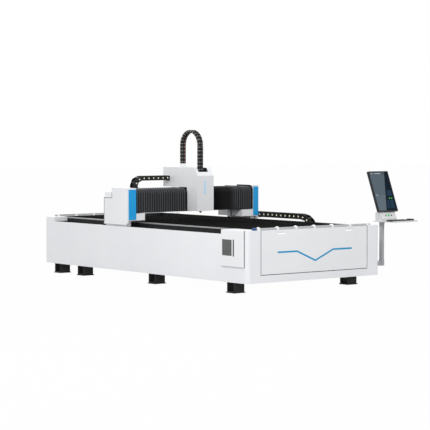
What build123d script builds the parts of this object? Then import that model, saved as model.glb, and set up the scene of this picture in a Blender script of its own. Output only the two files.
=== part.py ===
import os
from math import cos, pi, sin, tan, radians

from build123d import *

# Bed weldment
bed_length = 4720
bed_width = 2330
bed_top = 820
foot_height = 140
corner_radius = 55
plate = 8
side_beam_width = 240
rail_shelf = 700
slot_edge = 760
front_end = 514
rear_end = 254
end_wall = 110
top_rail_depth = 80
overrun = 20
running_gap = 3
seat_gap = 0.3

# Feet
foot_length = 168
foot_width = 150
foot_wall = 10
foot_plate = 12
foot_lip = 10
foot_inset = 20
right_foot_inset = 155
anchor_hole = 22
foot_place_shares = (-0.424, -0.061, 0.307, 0.434)

# Cutting table
cross_tube = 100
cross_tube_wall = 8
cross_tube_shares = (-0.32, -0.16, 0.0, 0.16, 0.32)
slat_pitch = 100
slat_thickness = 4
slat_top = 780
slat_end_gap = 18
carrier_seat = 668
carrier_ledge = 65
carrier_drop = 68
carrier_thickness = 8
pan_wall = 4
pan_height = 180
pan_side_gap = 40

# Scrap drawer in the front end
door_width = 1876
door_bottom = 240
door_depth = 30
door_skin = 4
door_top_gap = 2
tunnel_width = 1800
tunnel_top = 600
runner_width = 60
runner_height = 12
runner_inset = 90
drawer_length = 2150
drawer_side_gap = 30
grip_width = 130
grip_height = 32
grip_spacing = 1180
grip_height_above_floor = 773

# Long guide rails and racks on the bed
rail_inset = 45
rail_width = 30
rail_height = 28
rail_waist = 4
rail_step_shares = (0.4, 0.55, 0.7)
rail_end_gap = 40
rack_width = 25
rack_height = 30
rack_edge_gap = 15
guard_thickness = 8
guard_top = 802
cap_width = 25
cap_height = 16

# Loading rollers on the end edges
roller_bar_length = 2000
roller_bar_depth = 50
roller_bar_height = 24
roller_bar_setback = 10
roller_count = 7
roller_pitch = 318.6
roller_cup_radius = 32
roller_cup_height = 30
roller_ball_radius = 23
stop_length = 40
stop_height = 30

# Raised cover on the front left side
cover_length = 460
cover_bottom = 345
cover_thickness = 20
cover_edge = 5
window_start = 25
window_length = 198
window_bottom = 486
window_height = 209
window_recess = 8
window_thickness = 5
latch_gap = 28
latch_width = 14
latch_depth = 10

# Gantry
gantry_front = 226
gantry_depth = 569
leg_bottom = 843
leg_top = 940
leg_reach = 275
leg_wall = 12
leg_setback = 10
leg_foot_setback = 60
leg_end_gap = 6
block_length = 120
block_width = 70
block_height = 63
block_lift = 8
block_slot_gap = 0.5
beam_setback = 134
beam_depth = 236
beam_height = 280
beam_wall = 12
gantry_overhang = 20
left_cover_width = 147
right_cover_width = 97
end_cover_top = 1295
end_cover_wall = 4
notch_length = 189
notch_floor = 1156
rear_plate_top = 1228
skirt_bottom = 785
skirt_slant = 30
skirt_thickness = 20
motor_box_inset = 240
motor_box_gap = 5
trim_thickness = 4
trim_margin = 9
trim_top_margin = 20
chain_shelf_setback = 36
chain_shelf_length = 180
chain_shelf_thickness = 10

# Drives
gear_module = 3
gear_teeth = 20
gear_width = 22
gear_lift = 3
dedendum_share = 1.25
tooth_tip_share = 0.12
tooth_root_share = 0.32
shaft_radius = 12
shaft_gap = 2
shaft_socket = 40
gearbox_width = 84
gearbox_height = 62
motor_width = 72
motor_height = 132
motor_corner = 12
beam_rail_width = 25
beam_rail_height = 24
beam_rail_ends = 40
lower_rail_share = 0.2
upper_rail_share = 0.8

# Bellows over the beam
bellows_setback = 14
bellows_bottom = 950
bellows_top = 1280
bellows_radius = 70
pleat_depth = 26
pleat_pitch = 40
bellows_wall = 3
corner_steps = 3

# Head cover and carriage
head_width = 290
head_offset = 20
head_overhang = 226
head_depth = 250
head_bottom = 955
head_tail = 15
hood_underside = 1289
head_top = 1570
bevel_depth = 80
bevel_height = 115
head_wall = 4
mouth_width = 172
mouth_front = 38
mouth_depth = 52
carriage_thickness = 18
carriage_block_length = 80
carriage_block_width = 60
carriage_block_height = 50
carriage_block_spacing = 180
carriage_foot = 960
carriage_top = 1450
bridge_underside = 1250
bridge_overhang = 44

# Lift axis and cutting head
lift_rail_spacing = 150
lift_rail_width = 20
lift_rail_height = 18
lift_rail_bottom = 990
lift_rail_top = 1400
lift_block_gap = 8
lift_block_length = 50
lift_block_width = 46
lift_plate_width = 210
lift_plate_height = 200
lift_plate_thickness = 14
lift_plate_bottom = 1110
lift_plate_gap = 42
screw_radius = 10
screw_gap = 0.5
screw_standoff = 24
screw_bearing_height = 24
nut_width = 44
nut_height = 50
lift_motor_width = 60
lift_motor_height = 96
optic_depth = 120
optic_width = 92
optic_bottom = 1000
optic_top = 1395
optic_neck_radius = 34
optic_neck_height = 40
optic_collar_radius = 42
optic_collar_height = 14
optic_bracket_height = 120
nozzle_tip = 922
nozzle_tip_radius = 4
nozzle_root_radius = 24
nozzle_bore = 2
nozzle_collar = 16
cable_shelf_height = 12

# Cable chains
long_chain_width = 90
long_chain_height = 80
long_chain_pitch = 96
long_chain_bend_links = 8
long_chain_gap = 20
long_chain_top = 904
long_chain_reach = 1206
long_chain_upper_links = 11
long_chain_lower_links = 7
chain_tray_wall = 6
chain_tray_lip = 46
chain_tray_margin = 40
beam_chain_width = 96
beam_chain_height = 68
beam_chain_pitch = 84
beam_chain_bend_links = 4
beam_chain_top = 1450
beam_chain_links = 6
beam_chain_gap = 44
beam_chain_anchor = 6
trough_wall = 5
trough_height = 60
trough_side = 12
head_chain_width = 80
head_chain_height = 36
head_chain_pitch = 52.5
head_chain_bend_links = 12
head_chain_offset = -50
head_chain_setback = 62
head_chain_rear_links = 5
head_chain_front_links = 8
link_wall = 9
link_gap = 0.4
link_hole_share = 0.3
crossbar_share = 0.3
crossbar_thickness = 6
chain_post_wall = 6
chain_post_height = 55

# Operator console
console_reach = 440
console_setback = 410
arm_width = 50
arm_bottom = 220
arm_height = 62
flange_width = 120
flange_height = 130
flange_thickness = 12
sleeve_radius = 38
sleeve_top = 300
post_width = 48
post_wall = 4
pivot_radius = 20
pivot_gap = 0.3
tray_top = 845
tray_thickness = 12
tray_width = 470
tray_setback = 60
tray_depth = 330
tray_offset = 115
tray_lip = 8
box_width = 280
box_setback = 255
box_depth = 140
box_top = 968
box_sill = 34
box_lean = 45
monitor_width = 370
monitor_length = 590
monitor_depth = 38
monitor_bezel = 12
monitor_lean = 21.5
monitor_setback = 20
screen_recess = 3
screen_thickness = 2
stand_width = 130
stand_height = 150
button_spacing = 52
start_radius = 15
side_button_radius = 9
button_proud = 9
button_stem = 14
button_gap = 0.6
button_travel = 5
button_edge_share = 0.16
keyboard_width = 330
keyboard_depth = 120
keyboard_height = 20
keyboard_slope = 8
keyboard_inset = 12
mouse_width = 58
mouse_depth = 96
mouse_height = 30
mouse_gap = 28
mouse_round_share = 0.33


def bend_radius(pitch, links):
    return pitch / (2 * sin(pi / (2 * links)))


# Places that follow from the sizes above
half_width = bed_width / 2
front = -bed_length / 2
rear = bed_length / 2
well = half_width - side_beam_width
slot_front = front + front_end
slot_rear = rear - rear_end
well_front = front + door_depth + top_rail_depth
well_rear = rear - end_wall
door_half = door_width / 2
drawer_floor = foot_height + cross_tube
rail_x = -half_width + rail_inset
rail_run = (slot_front + rail_end_gap, slot_rear - rail_end_gap)
rack_face = -well - rack_edge_gap - rack_width
gear_radius = gear_module * gear_teeth / 2
dedendum = dedendum_share * gear_module
pinion_x = rack_face - dedendum - gear_radius
gantry_rear = gantry_front + gantry_depth
beam_front = gantry_front + beam_setback
bellows_front = gantry_front + bellows_setback
head_front = gantry_front - head_overhang
head_rear = gantry_rear + head_tail
gantry_half = half_width + gantry_overhang
left_cover_inner = gantry_half - left_cover_width
right_cover_inner = gantry_half - right_cover_width
motor_box_edge = gantry_half - motor_box_inset
beam_rear = beam_front + beam_depth
beam_top = leg_top + beam_height
motor_box_front = beam_rear + motor_box_gap
pinion_y = (motor_box_front + gantry_rear) / 2
leg_outer = half_width - leg_setback
block_top = rail_shelf + block_height
beam_rack_y = beam_rear - rack_width - rack_edge_gap
carriage_pinion_y = beam_rack_y - dedendum - gear_radius
head_left = head_offset - head_width / 2
head_right = head_offset + head_width / 2
carriage_back = beam_front - carriage_block_height
carriage_front = carriage_back - carriage_thickness
bridge_top = bridge_underside + carriage_thickness
bridge_rear = beam_rear + bridge_overhang
screw_y = carriage_front - screw_standoff
lift_back = carriage_front - lift_plate_gap
lift_front = lift_back - lift_plate_thickness
optic_y = head_front + optic_depth
long_chain_front = gantry_front - long_chain_reach
long_chain_x = gantry_half + long_chain_gap + long_chain_width / 2
long_chain_radius = bend_radius(long_chain_pitch, long_chain_bend_links)
long_chain_bend_y = long_chain_front + long_chain_radius + long_chain_height / 2
long_chain_bend_z = long_chain_top - long_chain_height / 2 - long_chain_radius
beam_chain_y = beam_rear + beam_chain_gap + beam_chain_width / 2
beam_chain_radius = bend_radius(beam_chain_pitch, beam_chain_bend_links)
beam_chain_bend_x = head_left - beam_chain_anchor - beam_chain_links * beam_chain_pitch
beam_chain_bend_z = beam_chain_top - beam_chain_height / 2 - beam_chain_radius
head_chain_x = head_offset + head_chain_offset
head_chain_front = head_front + head_chain_setback
head_chain_base = head_top + chain_post_height
head_chain_radius = bend_radius(head_chain_pitch, head_chain_bend_links)
head_chain_bend_y = head_chain_front + head_chain_radius
head_chain_bend_z = head_chain_base + head_chain_rear_links * head_chain_pitch
head_chain_end = head_chain_bend_z - head_chain_front_links * head_chain_pitch
console_x = half_width + console_reach
console_y = front + console_setback
tray_front = front + tray_setback
box_front = front + box_setback
box_rear = box_front + box_depth
monitor_foot = box_front + monitor_setback
lean = radians(monitor_lean)
monitor_lift = box_top + monitor_depth * sin(lean) + seat_gap
tray_right = console_x + tray_offset + tray_width / 2
frame_shift = (tray_right - gantry_half) / 2


def span(centre, width):
    return (centre - width / 2, centre + width / 2)


def block(x, y, z):
    sizes = [high - low for low, high in (x, y, z)]
    return Pos(x[0], y[0], z[0]) * Box(*sizes, align=(Align.MIN, Align.MIN, Align.MIN))


def along_x(outline, x):
    rim = Polyline(*[(x[0], y, z) for y, z in outline], close=True)
    return extrude(make_face(rim), x[1] - x[0], dir=(1, 0, 0))


def along_y(outline, y):
    rim = Polyline(*[(x, y[0], z) for x, z in outline], close=True)
    return extrude(make_face(rim), y[1] - y[0], dir=(0, 1, 0))


def along_z(outline, z):
    rim = Polyline(*[(x, y, z[0]) for x, y in outline], close=True)
    return extrude(make_face(rim), z[1] - z[0], dir=(0, 0, 1))


def upright(x, y, z, radius):
    return Pos(x, y, z[0]) * Cylinder(radius, z[1] - z[0], align=(Align.CENTER, Align.CENTER, Align.MIN))


def group(pieces):
    return Compound([solid for piece in pieces for solid in piece.solids()])


def other_side(piece):
    return mirror(piece, about=Plane.YZ)


def pair(piece):
    return group([piece, other_side(piece)])


def rounded_end(x, y, z, y_outer, radius):
    body = block(x, y, z)
    corners = [body.edges().filter_by(Axis.Z).sort_by_distance((side, y_outer, z[0]))[0] for side in x]
    return fillet(corners, radius)


def bed_side():
    outer = -half_width
    inner = -well
    outline = [
        (outer, foot_height),
        (inner, foot_height),
        (inner, rail_shelf),
        (outer + plate, rail_shelf),
        (outer + plate, slot_edge),
        (outer, slot_edge),
    ]
    hollow = block(
        (outer + plate, inner - plate),
        (slot_front - overrun, slot_rear + overrun),
        (foot_height + plate, rail_shelf - plate),
    )
    return along_y(outline, (slot_front, slot_rear)) - hollow


def bed_front_frame():
    across = (-half_width, half_width)
    body = rounded_end(across, (front, slot_front), (foot_height, bed_top), front, corner_radius)
    recess_half = door_half + running_gap
    recess = block(
        (-recess_half, recess_half),
        (front - overrun, front + door_depth),
        (door_bottom - running_gap, bed_top + overrun),
    )
    tunnel = block(
        (-tunnel_width / 2, tunnel_width / 2),
        (front - overrun, slot_front + overrun),
        (drawer_floor, tunnel_top),
    )
    top_opening = block((-well, well), (well_front, slot_front + overrun), (tunnel_top, bed_top + overrun))
    top_rail_hollow = block(
        (-tunnel_width / 2, tunnel_width / 2),
        (front + door_depth + plate, well_front - plate),
        (tunnel_top - overrun, bed_top - plate),
    )
    inside = (-half_width + plate, half_width - plate)
    pockets = rounded_end(
        inside,
        (front + plate, slot_front + overrun),
        (foot_height + plate, rail_shelf - plate),
        front,
        corner_radius - plate,
    )
    middle_half = recess_half + plate
    pockets -= block(
        (-middle_half, middle_half),
        (front - overrun, slot_front + overrun),
        (foot_height - overrun, bed_top + overrun),
    )
    sill_hollow = block(
        (-tunnel_width / 2, tunnel_width / 2),
        (front + plate, slot_front + overrun),
        (foot_height + plate, drawer_floor - plate),
    )
    return body - recess - tunnel - top_opening - top_rail_hollow - pockets - sill_hollow


def bed_rear_frame():
    across = (-half_width, half_width)
    body = rounded_end(across, (slot_rear, rear), (foot_height, bed_top), rear, corner_radius)
    full_height = (foot_height - overrun, bed_top + overrun)
    opening = block((-well, well), (slot_rear - overrun, well_rear), full_height)
    pockets = rounded_end(
        (-half_width + plate, half_width - plate),
        (slot_rear - overrun, rear - plate),
        (foot_height + plate, rail_shelf - plate),
        rear,
        corner_radius - plate,
    )
    pockets -= block((-well - plate, well + plate), (slot_rear - overrun, well_rear + plate), full_height)
    return body - opening - pockets


def foot(x, y):
    tube = block(span(x, foot_length), span(y, foot_width), (foot_plate, foot_height))
    tube -= block(
        span(x, foot_length + overrun),
        span(y, foot_width - 2 * foot_wall),
        (foot_plate + foot_wall, foot_height - foot_wall),
    )
    base = block(span(x, foot_length + 2 * foot_lip), span(y, foot_width + 2 * foot_lip), (0, foot_plate))
    return tube + base - upright(x, y, (-overrun, foot_plate + foot_wall + overrun), anchor_hole / 2)


def feet():
    left = -half_width + foot_inset + foot_length / 2
    right = half_width - right_foot_inset - foot_length / 2
    places = [(x, share * bed_length) for share in foot_place_shares for x in (left, right)]
    return group([foot(*place) for place in places])


def open_pan(x, y, z):
    inner = block(
        (x[0] + pan_wall, x[1] - pan_wall),
        (y[0] + pan_wall, y[1] - pan_wall),
        (z[0] + pan_wall, z[1] + overrun),
    )
    return block(x, y, z) - inner


def cross_member(y):
    tube = block((-well, well), span(y, cross_tube), (foot_height, drawer_floor))
    inner_height = (foot_height + cross_tube_wall, drawer_floor - cross_tube_wall)
    hollow = block((-well - overrun, well + overrun), span(y, cross_tube - 2 * cross_tube_wall), inner_height)
    return tube - hollow


def slat_carrier():
    edge = -well
    outline = [
        (edge, carrier_seat - carrier_drop),
        (edge + carrier_thickness, carrier_seat - carrier_drop),
        (edge + carrier_thickness, carrier_seat - carrier_thickness),
        (edge + carrier_ledge, carrier_seat - carrier_thickness),
        (edge + carrier_ledge, carrier_seat),
        (edge, carrier_seat),
    ]
    return along_y(outline, (well_front, well_rear))


def drawer_runner():
    x = -tunnel_width / 2 + runner_inset
    return block(
        span(x, runner_width),
        (front + door_depth, front + door_depth + drawer_length),
        (drawer_floor, drawer_floor + runner_height),
    )


def table_frame():
    tubes = [cross_member(share * bed_length) for share in cross_tube_shares]
    rear_pan = open_pan(
        (-well + pan_side_gap, well - pan_side_gap),
        (front + door_depth + drawer_length + pan_side_gap, well_rear - pan_side_gap),
        (drawer_floor, drawer_floor + pan_height),
    )
    sides = [slat_carrier(), other_side(slat_carrier()), drawer_runner(), other_side(drawer_runner())]
    return group(tubes + sides + [rear_pan])


def slats():
    half = well - slat_end_gap
    count = int((well_rear - well_front - slat_pitch) / slat_pitch) + 1
    first = (well_front + well_rear - (count - 1) * slat_pitch) / 2
    rows = [first + number * slat_pitch for number in range(count)]
    return group([block((-half, half), span(y, slat_thickness), (carrier_seat, slat_top)) for y in rows])


def rail_outline(width, height):
    half = width / 2
    waist = half - rail_waist
    low, middle, high = [share * height for share in rail_step_shares]
    right = [(half, 0), (half, low), (waist, middle), (half, high), (half, height)]
    return right + [(-x, z) for x, z in reversed(right)]


def bed_rail():
    outline = [(rail_x + x, rail_shelf + z) for x, z in rail_outline(rail_width, rail_height)]
    return along_y(outline, rail_run)


def bed_rack():
    return block((rack_face, rack_face + rack_width), rail_run, (rail_shelf, rail_shelf + rack_height))


def rail_guard():
    return block((-well - guard_thickness, -well), (slot_front, slot_rear), (rail_shelf, guard_top))


def guard_cap():
    x = -well - guard_thickness / 2
    return block(span(x, cap_width), (slot_front, slot_rear), (guard_top, guard_top + cap_height))


def roller_places():
    first = -roller_pitch * (roller_count - 1) / 2
    y = front + roller_bar_setback + roller_bar_depth / 2
    return [(first + number * roller_pitch, y) for number in range(roller_count)]


def roller_bar():
    y = (front + roller_bar_setback, front + roller_bar_setback + roller_bar_depth)
    bar = block(span(0, roller_bar_length), y, (bed_top, bed_top + roller_bar_height))
    through = (bed_top - overrun, bed_top + roller_bar_height + overrun)
    for place in roller_places():
        bar -= upright(*place, through, roller_cup_radius + seat_gap)
    return bar


def ball_roller(x, y):
    cup = upright(x, y, (bed_top, bed_top + roller_cup_height), roller_cup_radius)
    ball = Pos(x, y, bed_top + roller_cup_height) * Sphere(roller_ball_radius, arc_size1=0)
    return cup + ball


def both_ends(pieces):
    return group(list(pieces) + [mirror(piece, about=Plane.XZ) for piece in pieces])


def roller_bars():
    return both_ends(roller_bar().solids())


def ball_rollers():
    return both_ends([ball_roller(x, y) for x, y in roller_places()])


def edge_stop():
    x = -roller_bar_length / 2
    y = front + roller_bar_setback
    return block((x - stop_length, x), (y, y + roller_bar_depth), (bed_top, bed_top + stop_height))


def access_cover():
    outer = -half_width - cover_thickness
    y_rear = slot_front
    body = block((outer, -half_width), (y_rear - cover_length, y_rear), (cover_bottom, bed_top))
    face = body.faces().sort_by(Axis.X)[0]
    body = chamfer(face.edges(), cover_edge)
    recess = block(
        (outer - overrun, outer + window_recess),
        (y_rear - window_start - window_length, y_rear - window_start),
        (window_bottom, window_bottom + window_height),
    )
    latch_rear = y_rear - window_start - window_length - latch_gap
    slot = block(
        (outer - overrun, outer + latch_depth),
        (latch_rear - latch_width, latch_rear),
        (window_bottom, window_bottom + window_height),
    )
    return body - recess - slot


def access_window():
    bottom = -half_width - cover_thickness + window_recess
    return block(
        (bottom - window_thickness, bottom),
        (slot_front - window_start - window_length + seat_gap, slot_front - window_start - seat_gap),
        (window_bottom + seat_gap, window_bottom + window_height - seat_gap),
    )


def drawer_front():
    y = (front, front + door_depth)
    z = (door_bottom, bed_top - door_top_gap)
    panel = block((-door_half, door_half), y, z)
    panel -= block(
        (-door_half + door_skin, door_half - door_skin),
        (front + door_skin, y[1] + overrun),
        (z[0] + door_skin, z[1] - door_skin),
    )
    grip = extrude(Plane.XZ * SlotOverall(grip_width, grip_height), overrun, both=True)
    for side in (-1, 1):
        panel -= Pos(side * grip_spacing / 2, front, grip_height_above_floor) * grip
    return panel


def drawer_tray():
    half = tunnel_width / 2 - drawer_side_gap
    seat = drawer_floor + runner_height
    length = (front + door_skin, front + door_depth + drawer_length)
    return open_pan((-half, half), length, (seat, seat + pan_height))


def beam():
    length = (-leg_outer, leg_outer)
    tube = block(length, (beam_front, beam_rear), (leg_top, beam_top))
    inside = block(
        (-leg_outer - overrun, leg_outer + overrun),
        (beam_front + beam_wall, beam_rear - beam_wall),
        (leg_top + beam_wall, beam_top - beam_wall),
    )
    return tube - inside


def gantry_leg():
    inner = -leg_outer + leg_reach
    foot_inner = rail_x + block_width / 2
    outline = [
        (-leg_outer, block_top),
        (foot_inner, block_top),
        (foot_inner, leg_bottom),
        (inner, leg_bottom),
        (inner, leg_top),
        (-leg_outer, leg_top),
    ]
    y = (gantry_front + leg_end_gap, gantry_rear - leg_end_gap)
    leg = along_y(outline, y)
    leg -= block(
        (-leg_outer + leg_wall, inner - leg_wall),
        (y[0] + leg_wall, y[1] + overrun),
        (leg_bottom + leg_wall, leg_top - leg_wall),
    )
    leg -= block(
        (-leg_outer - overrun, foot_inner + overrun),
        (gantry_front - overrun, gantry_front + leg_foot_setback),
        (block_top - overrun, leg_bottom),
    )
    through = (leg_bottom - overrun, leg_top + overrun)
    return leg - upright(pinion_x, pinion_y, through, shaft_radius + shaft_gap)


def rail_block(y):
    body = block(span(rail_x, block_width), span(y, block_length), (rail_shelf + block_lift, block_top))
    slot = block(
        span(rail_x, rail_width + 2 * block_slot_gap),
        span(y, block_length + overrun),
        (rail_shelf, rail_shelf + rail_height + block_slot_gap),
    )
    return body - slot


def rail_blocks():
    ends = (gantry_front + block_length, gantry_rear - block_length)
    left = [rail_block(y) for y in ends]
    return group(left + [other_side(piece) for piece in left])


def drive_unit(x, y, z):
    gearbox = block(span(x, gearbox_width), span(y, gearbox_width), (z, z + gearbox_height))
    gearbox -= upright(x, y, (z - overrun, z + shaft_socket), shaft_radius + seat_gap)
    motor = block(
        span(x, motor_width),
        span(y, motor_width),
        (z + gearbox_height, z + gearbox_height + motor_height),
    )
    motor = chamfer(motor.edges().filter_by(Axis.Z), motor_corner)
    return gearbox + motor


def gantry_drives():
    return pair(drive_unit(pinion_x, pinion_y, leg_top))


def pinion(x, y, z, shaft_top):
    tip = gear_radius + gear_module
    root = gear_radius - dedendum
    step = 2 * pi / gear_teeth
    outline = []
    for tooth in range(gear_teeth):
        rising = [(root, -tooth_root_share), (tip, -tooth_tip_share)]
        falling = [(tip, tooth_tip_share), (root, tooth_root_share)]
        for radius, share in rising + falling:
            angle = (tooth + share) * step
            outline.append((x + radius * cos(angle), y + radius * sin(angle)))
    return along_z(outline, (z, z + gear_width)) + upright(x, y, (z, shaft_top), shaft_radius)


def gantry_pinion():
    return pinion(pinion_x, pinion_y, rail_shelf + gear_lift, leg_top + shaft_socket - seat_gap)


def carriage_pinion():
    z = beam_top + gear_lift / 2
    return pinion(head_offset, carriage_pinion_y, z, bridge_top + shaft_socket - seat_gap)


def stepped_side(step, bottom, wall):
    notch_front = gantry_rear - notch_length
    return [
        (gantry_front + wall, bottom),
        (gantry_rear - wall, bottom),
        (gantry_rear - wall, step - wall),
        (notch_front - wall, step - wall),
        (notch_front - wall, end_cover_top - wall),
        (gantry_front + wall, end_cover_top - wall),
    ]


def end_cover(width):
    outer = -gantry_half
    inner = outer + width
    wall = end_cover_wall
    side_plate = outer + skirt_thickness
    shell = along_x(stepped_side(notch_floor, leg_bottom, 0), (outer, inner))
    shell -= along_x(stepped_side(notch_floor, leg_bottom - overrun, wall), (side_plate, inner - wall))
    shell += along_x(stepped_side(rear_plate_top, notch_floor - wall, 0), (side_plate - wall, side_plate))
    rail_room = beam_rail_height + running_gap
    beam_pass = block(
        (inner - overrun, inner + overrun),
        (beam_front - rail_room, beam_rear + seat_gap),
        (leg_bottom - overrun, beam_top + rack_height + running_gap),
    )
    leg_pass = block(
        (inner - overrun, inner + overrun),
        (gantry_front + wall, gantry_rear - wall),
        (leg_bottom - overrun, leg_top + seat_gap),
    )
    motor_box = block(
        (inner - wall, -motor_box_edge),
        (motor_box_front, gantry_rear),
        (leg_top, notch_floor),
    )
    motor_room = block(
        (inner - overrun, -motor_box_edge - wall),
        (motor_box_front + wall, gantry_rear - wall),
        (leg_top - overrun, notch_floor - wall),
    )
    skirt = along_x(
        [
            (gantry_front + skirt_slant, skirt_bottom),
            (gantry_rear, skirt_bottom),
            (gantry_rear, leg_bottom),
            (gantry_front, leg_bottom),
            (gantry_front, skirt_bottom + skirt_slant),
        ],
        (outer, outer + skirt_thickness - running_gap),
    )
    return shell - beam_pass - leg_pass + motor_box - motor_room + skirt


def right_end_cover():
    shelf_top = long_chain_top - long_chain_height
    shelf = block(
        (gantry_half, long_chain_x + long_chain_width / 2),
        (gantry_front + chain_shelf_setback, gantry_front + chain_shelf_setback + chain_shelf_length),
        (shelf_top - chain_shelf_thickness, shelf_top),
    )
    return other_side(end_cover(right_cover_width)) + shelf


def end_trims():
    y = (gantry_front - trim_thickness, gantry_front)
    z = (leg_bottom + trim_margin, end_cover_top - trim_top_margin)
    return group([block((-half_width, -left_cover_inner), y, z), block((right_cover_inner, gantry_half), y, z)])


def beam_rails():
    length = left_cover_inner - beam_rail_ends
    rails = []
    for share in (lower_rail_share, upper_rail_share):
        z = leg_top + share * beam_height
        profile = rail_outline(beam_rail_width, beam_rail_height)
        outline = [(beam_front - out, z + up) for up, out in profile]
        rails.append(along_x(outline, (-length, length)))
    return rails


def beam_rack():
    length = left_cover_inner - beam_rail_ends
    y = (beam_rack_y, beam_rack_y + rack_width)
    return block((-length, length), y, (beam_top, beam_top + rack_height - gear_lift))


def bellows_rim(x, inset):
    radius = bellows_radius - inset
    y_front = bellows_front + inset
    z_top = bellows_top - inset
    turn = [pi / 2 * step / corner_steps for step in range(corner_steps + 1)]
    outer = [(y_front, bellows_bottom)]
    outer += [(y_front + radius * (1 - cos(a)), z_top - radius * (1 - sin(a))) for a in turn]
    outer += [(beam_rear, z_top)]
    thin = radius - bellows_wall
    inner = [(beam_rear, z_top - bellows_wall)]
    centre = (y_front + radius, z_top - radius)
    inner += [(centre[0] - thin * cos(a), centre[1] + thin * sin(a)) for a in reversed(turn)]
    inner += [(y_front + bellows_wall, bellows_bottom)]
    return [(x, y, z) for y, z in outer + inner]


def flat(corners):
    return make_face(Polyline(*corners, close=True))


def bellows(x_start, x_end):
    folds = 2 * round(abs(x_end - x_start) / pleat_pitch)
    step = (x_end - x_start) / folds
    rims = [bellows_rim(x_start + step * fold, pleat_depth * (fold % 2)) for fold in range(folds + 1)]
    faces = [flat(rims[0]), flat(rims[-1])]
    for near, far in zip(rims, rims[1:]):
        edges = zip(near, near[1:] + near[:1], far[1:] + far[:1], far)
        faces += [flat(corners) for corners in edges]
    return Solid(Shell(faces))


def link(width, height, pitch, holed, inner_length=None):
    half = (pitch - link_gap) / 2
    inner = (inner_length or pitch) / 2 - link_gap / 2
    outline = [(-inner, -height / 2), (inner, -height / 2), (half, height / 2), (-half, height / 2)]
    side = along_y(outline, (width / 2 - link_wall, width / 2))
    if holed:
        hole = height * link_hole_share
        side -= block(span(0, hole), (width / 2 - link_wall - overrun, width / 2 + overrun), span(0, hole))
    bar_half = pitch * crossbar_share / 2
    gap = width / 2 - link_wall
    top = block((-bar_half, bar_half), (-gap, gap), (height / 2 - crossbar_thickness, height / 2))
    return side + mirror(side, about=Plane.XZ) + top + mirror(top, about=Plane.XY)


def straight_run(one_link, count, pitch):
    return [Pos((number + 0.5) * pitch, 0, 0) * one_link for number in range(count)]


def half_turn(width, height, pitch, holed, count):
    step = 180 / count
    middle = bend_radius(pitch, count) * cos(radians(step / 2))
    inner_length = 2 * (middle - height / 2) * tan(radians(step / 2))
    one_link = link(width, height, pitch, holed, inner_length)
    turned = []
    for number in range(count):
        angle = 90 + (number + 0.5) * step
        place = Pos(middle * cos(radians(angle)), 0, middle * sin(radians(angle)))
        turned.append(place * Rot(0, 90 - angle, 0) * one_link)
    return turned


def long_chain_link():
    return link(long_chain_width, long_chain_height, long_chain_pitch, True)


def long_chain_frame():
    return Pos(long_chain_x, long_chain_bend_y, long_chain_bend_z) * Rot(0, 0, 90)


def long_chain_upper():
    run = straight_run(long_chain_link(), long_chain_upper_links, long_chain_pitch)
    return group([long_chain_frame() * Pos(0, 0, long_chain_radius) * piece for piece in run])


def long_chain_lower():
    run = straight_run(long_chain_link(), long_chain_lower_links, long_chain_pitch)
    return group([long_chain_frame() * Pos(0, 0, -long_chain_radius) * piece for piece in run])


def long_chain_bend():
    size = (long_chain_width, long_chain_height, long_chain_pitch)
    turned = half_turn(*size, True, long_chain_bend_links)
    return group([long_chain_frame() * piece for piece in turned])


def chain_tray():
    floor = long_chain_bend_z - long_chain_radius - long_chain_height / 2
    outer = long_chain_x + long_chain_width / 2 + chain_tray_wall
    outline = [
        (half_width, floor - chain_tray_wall),
        (outer + chain_tray_wall, floor - chain_tray_wall),
        (outer + chain_tray_wall, floor + chain_tray_lip),
        (outer, floor + chain_tray_lip),
        (outer, floor),
        (half_width, floor),
    ]
    reach = (gantry_front - slot_front) / 2
    end = long_chain_bend_y + long_chain_lower_links * long_chain_pitch
    return along_y(outline, (long_chain_front - reach + chain_tray_margin, end + chain_tray_margin))


def beam_chain_link():
    return link(beam_chain_width, beam_chain_height, beam_chain_pitch, True)


def beam_chain_run(level):
    run = straight_run(beam_chain_link(), beam_chain_links, beam_chain_pitch)
    frame = Pos(beam_chain_bend_x, beam_chain_y, beam_chain_bend_z + level)
    return group([frame * piece for piece in run])


def beam_chain_bend():
    size = (beam_chain_width, beam_chain_height, beam_chain_pitch)
    turned = half_turn(*size, True, beam_chain_bend_links)
    frame = Pos(beam_chain_bend_x, beam_chain_y, beam_chain_bend_z)
    return group([frame * piece for piece in turned])


def beam_chain_trough():
    floor = beam_chain_bend_z - beam_chain_radius - beam_chain_height / 2
    near = beam_rear
    far = beam_chain_y + beam_chain_width / 2 + trough_side
    outline = [
        (near, floor - trough_wall),
        (far + trough_wall, floor - trough_wall),
        (far + trough_wall, floor - trough_wall + trough_height),
        (far, floor - trough_wall + trough_height),
        (far, floor),
        (near + trough_wall, floor),
        (near + trough_wall, floor - trough_wall + trough_height),
        (near, floor - trough_wall + trough_height),
    ]
    return along_x(outline, (-left_cover_inner, head_left))


def head_chain():
    size = (head_chain_width, head_chain_height, head_chain_pitch)
    one = link(*size, False)
    frame = Pos(head_chain_x, head_chain_bend_y, head_chain_bend_z) * Rot(0, 0, 90)
    rear_leg = [
        Pos(head_chain_radius, 0, -(number + 0.5) * head_chain_pitch) * Rot(0, 90, 0) * one
        for number in range(head_chain_rear_links)
    ]
    front_leg = [
        Pos(-head_chain_radius, 0, -(number + 0.5) * head_chain_pitch) * Rot(0, 90, 0) * one
        for number in range(head_chain_front_links)
    ]
    crown = [Rot(0, 90, 0) * piece for piece in half_turn(*size, False, head_chain_bend_links)]
    return group([frame * piece for piece in rear_leg + crown + front_leg])


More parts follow.
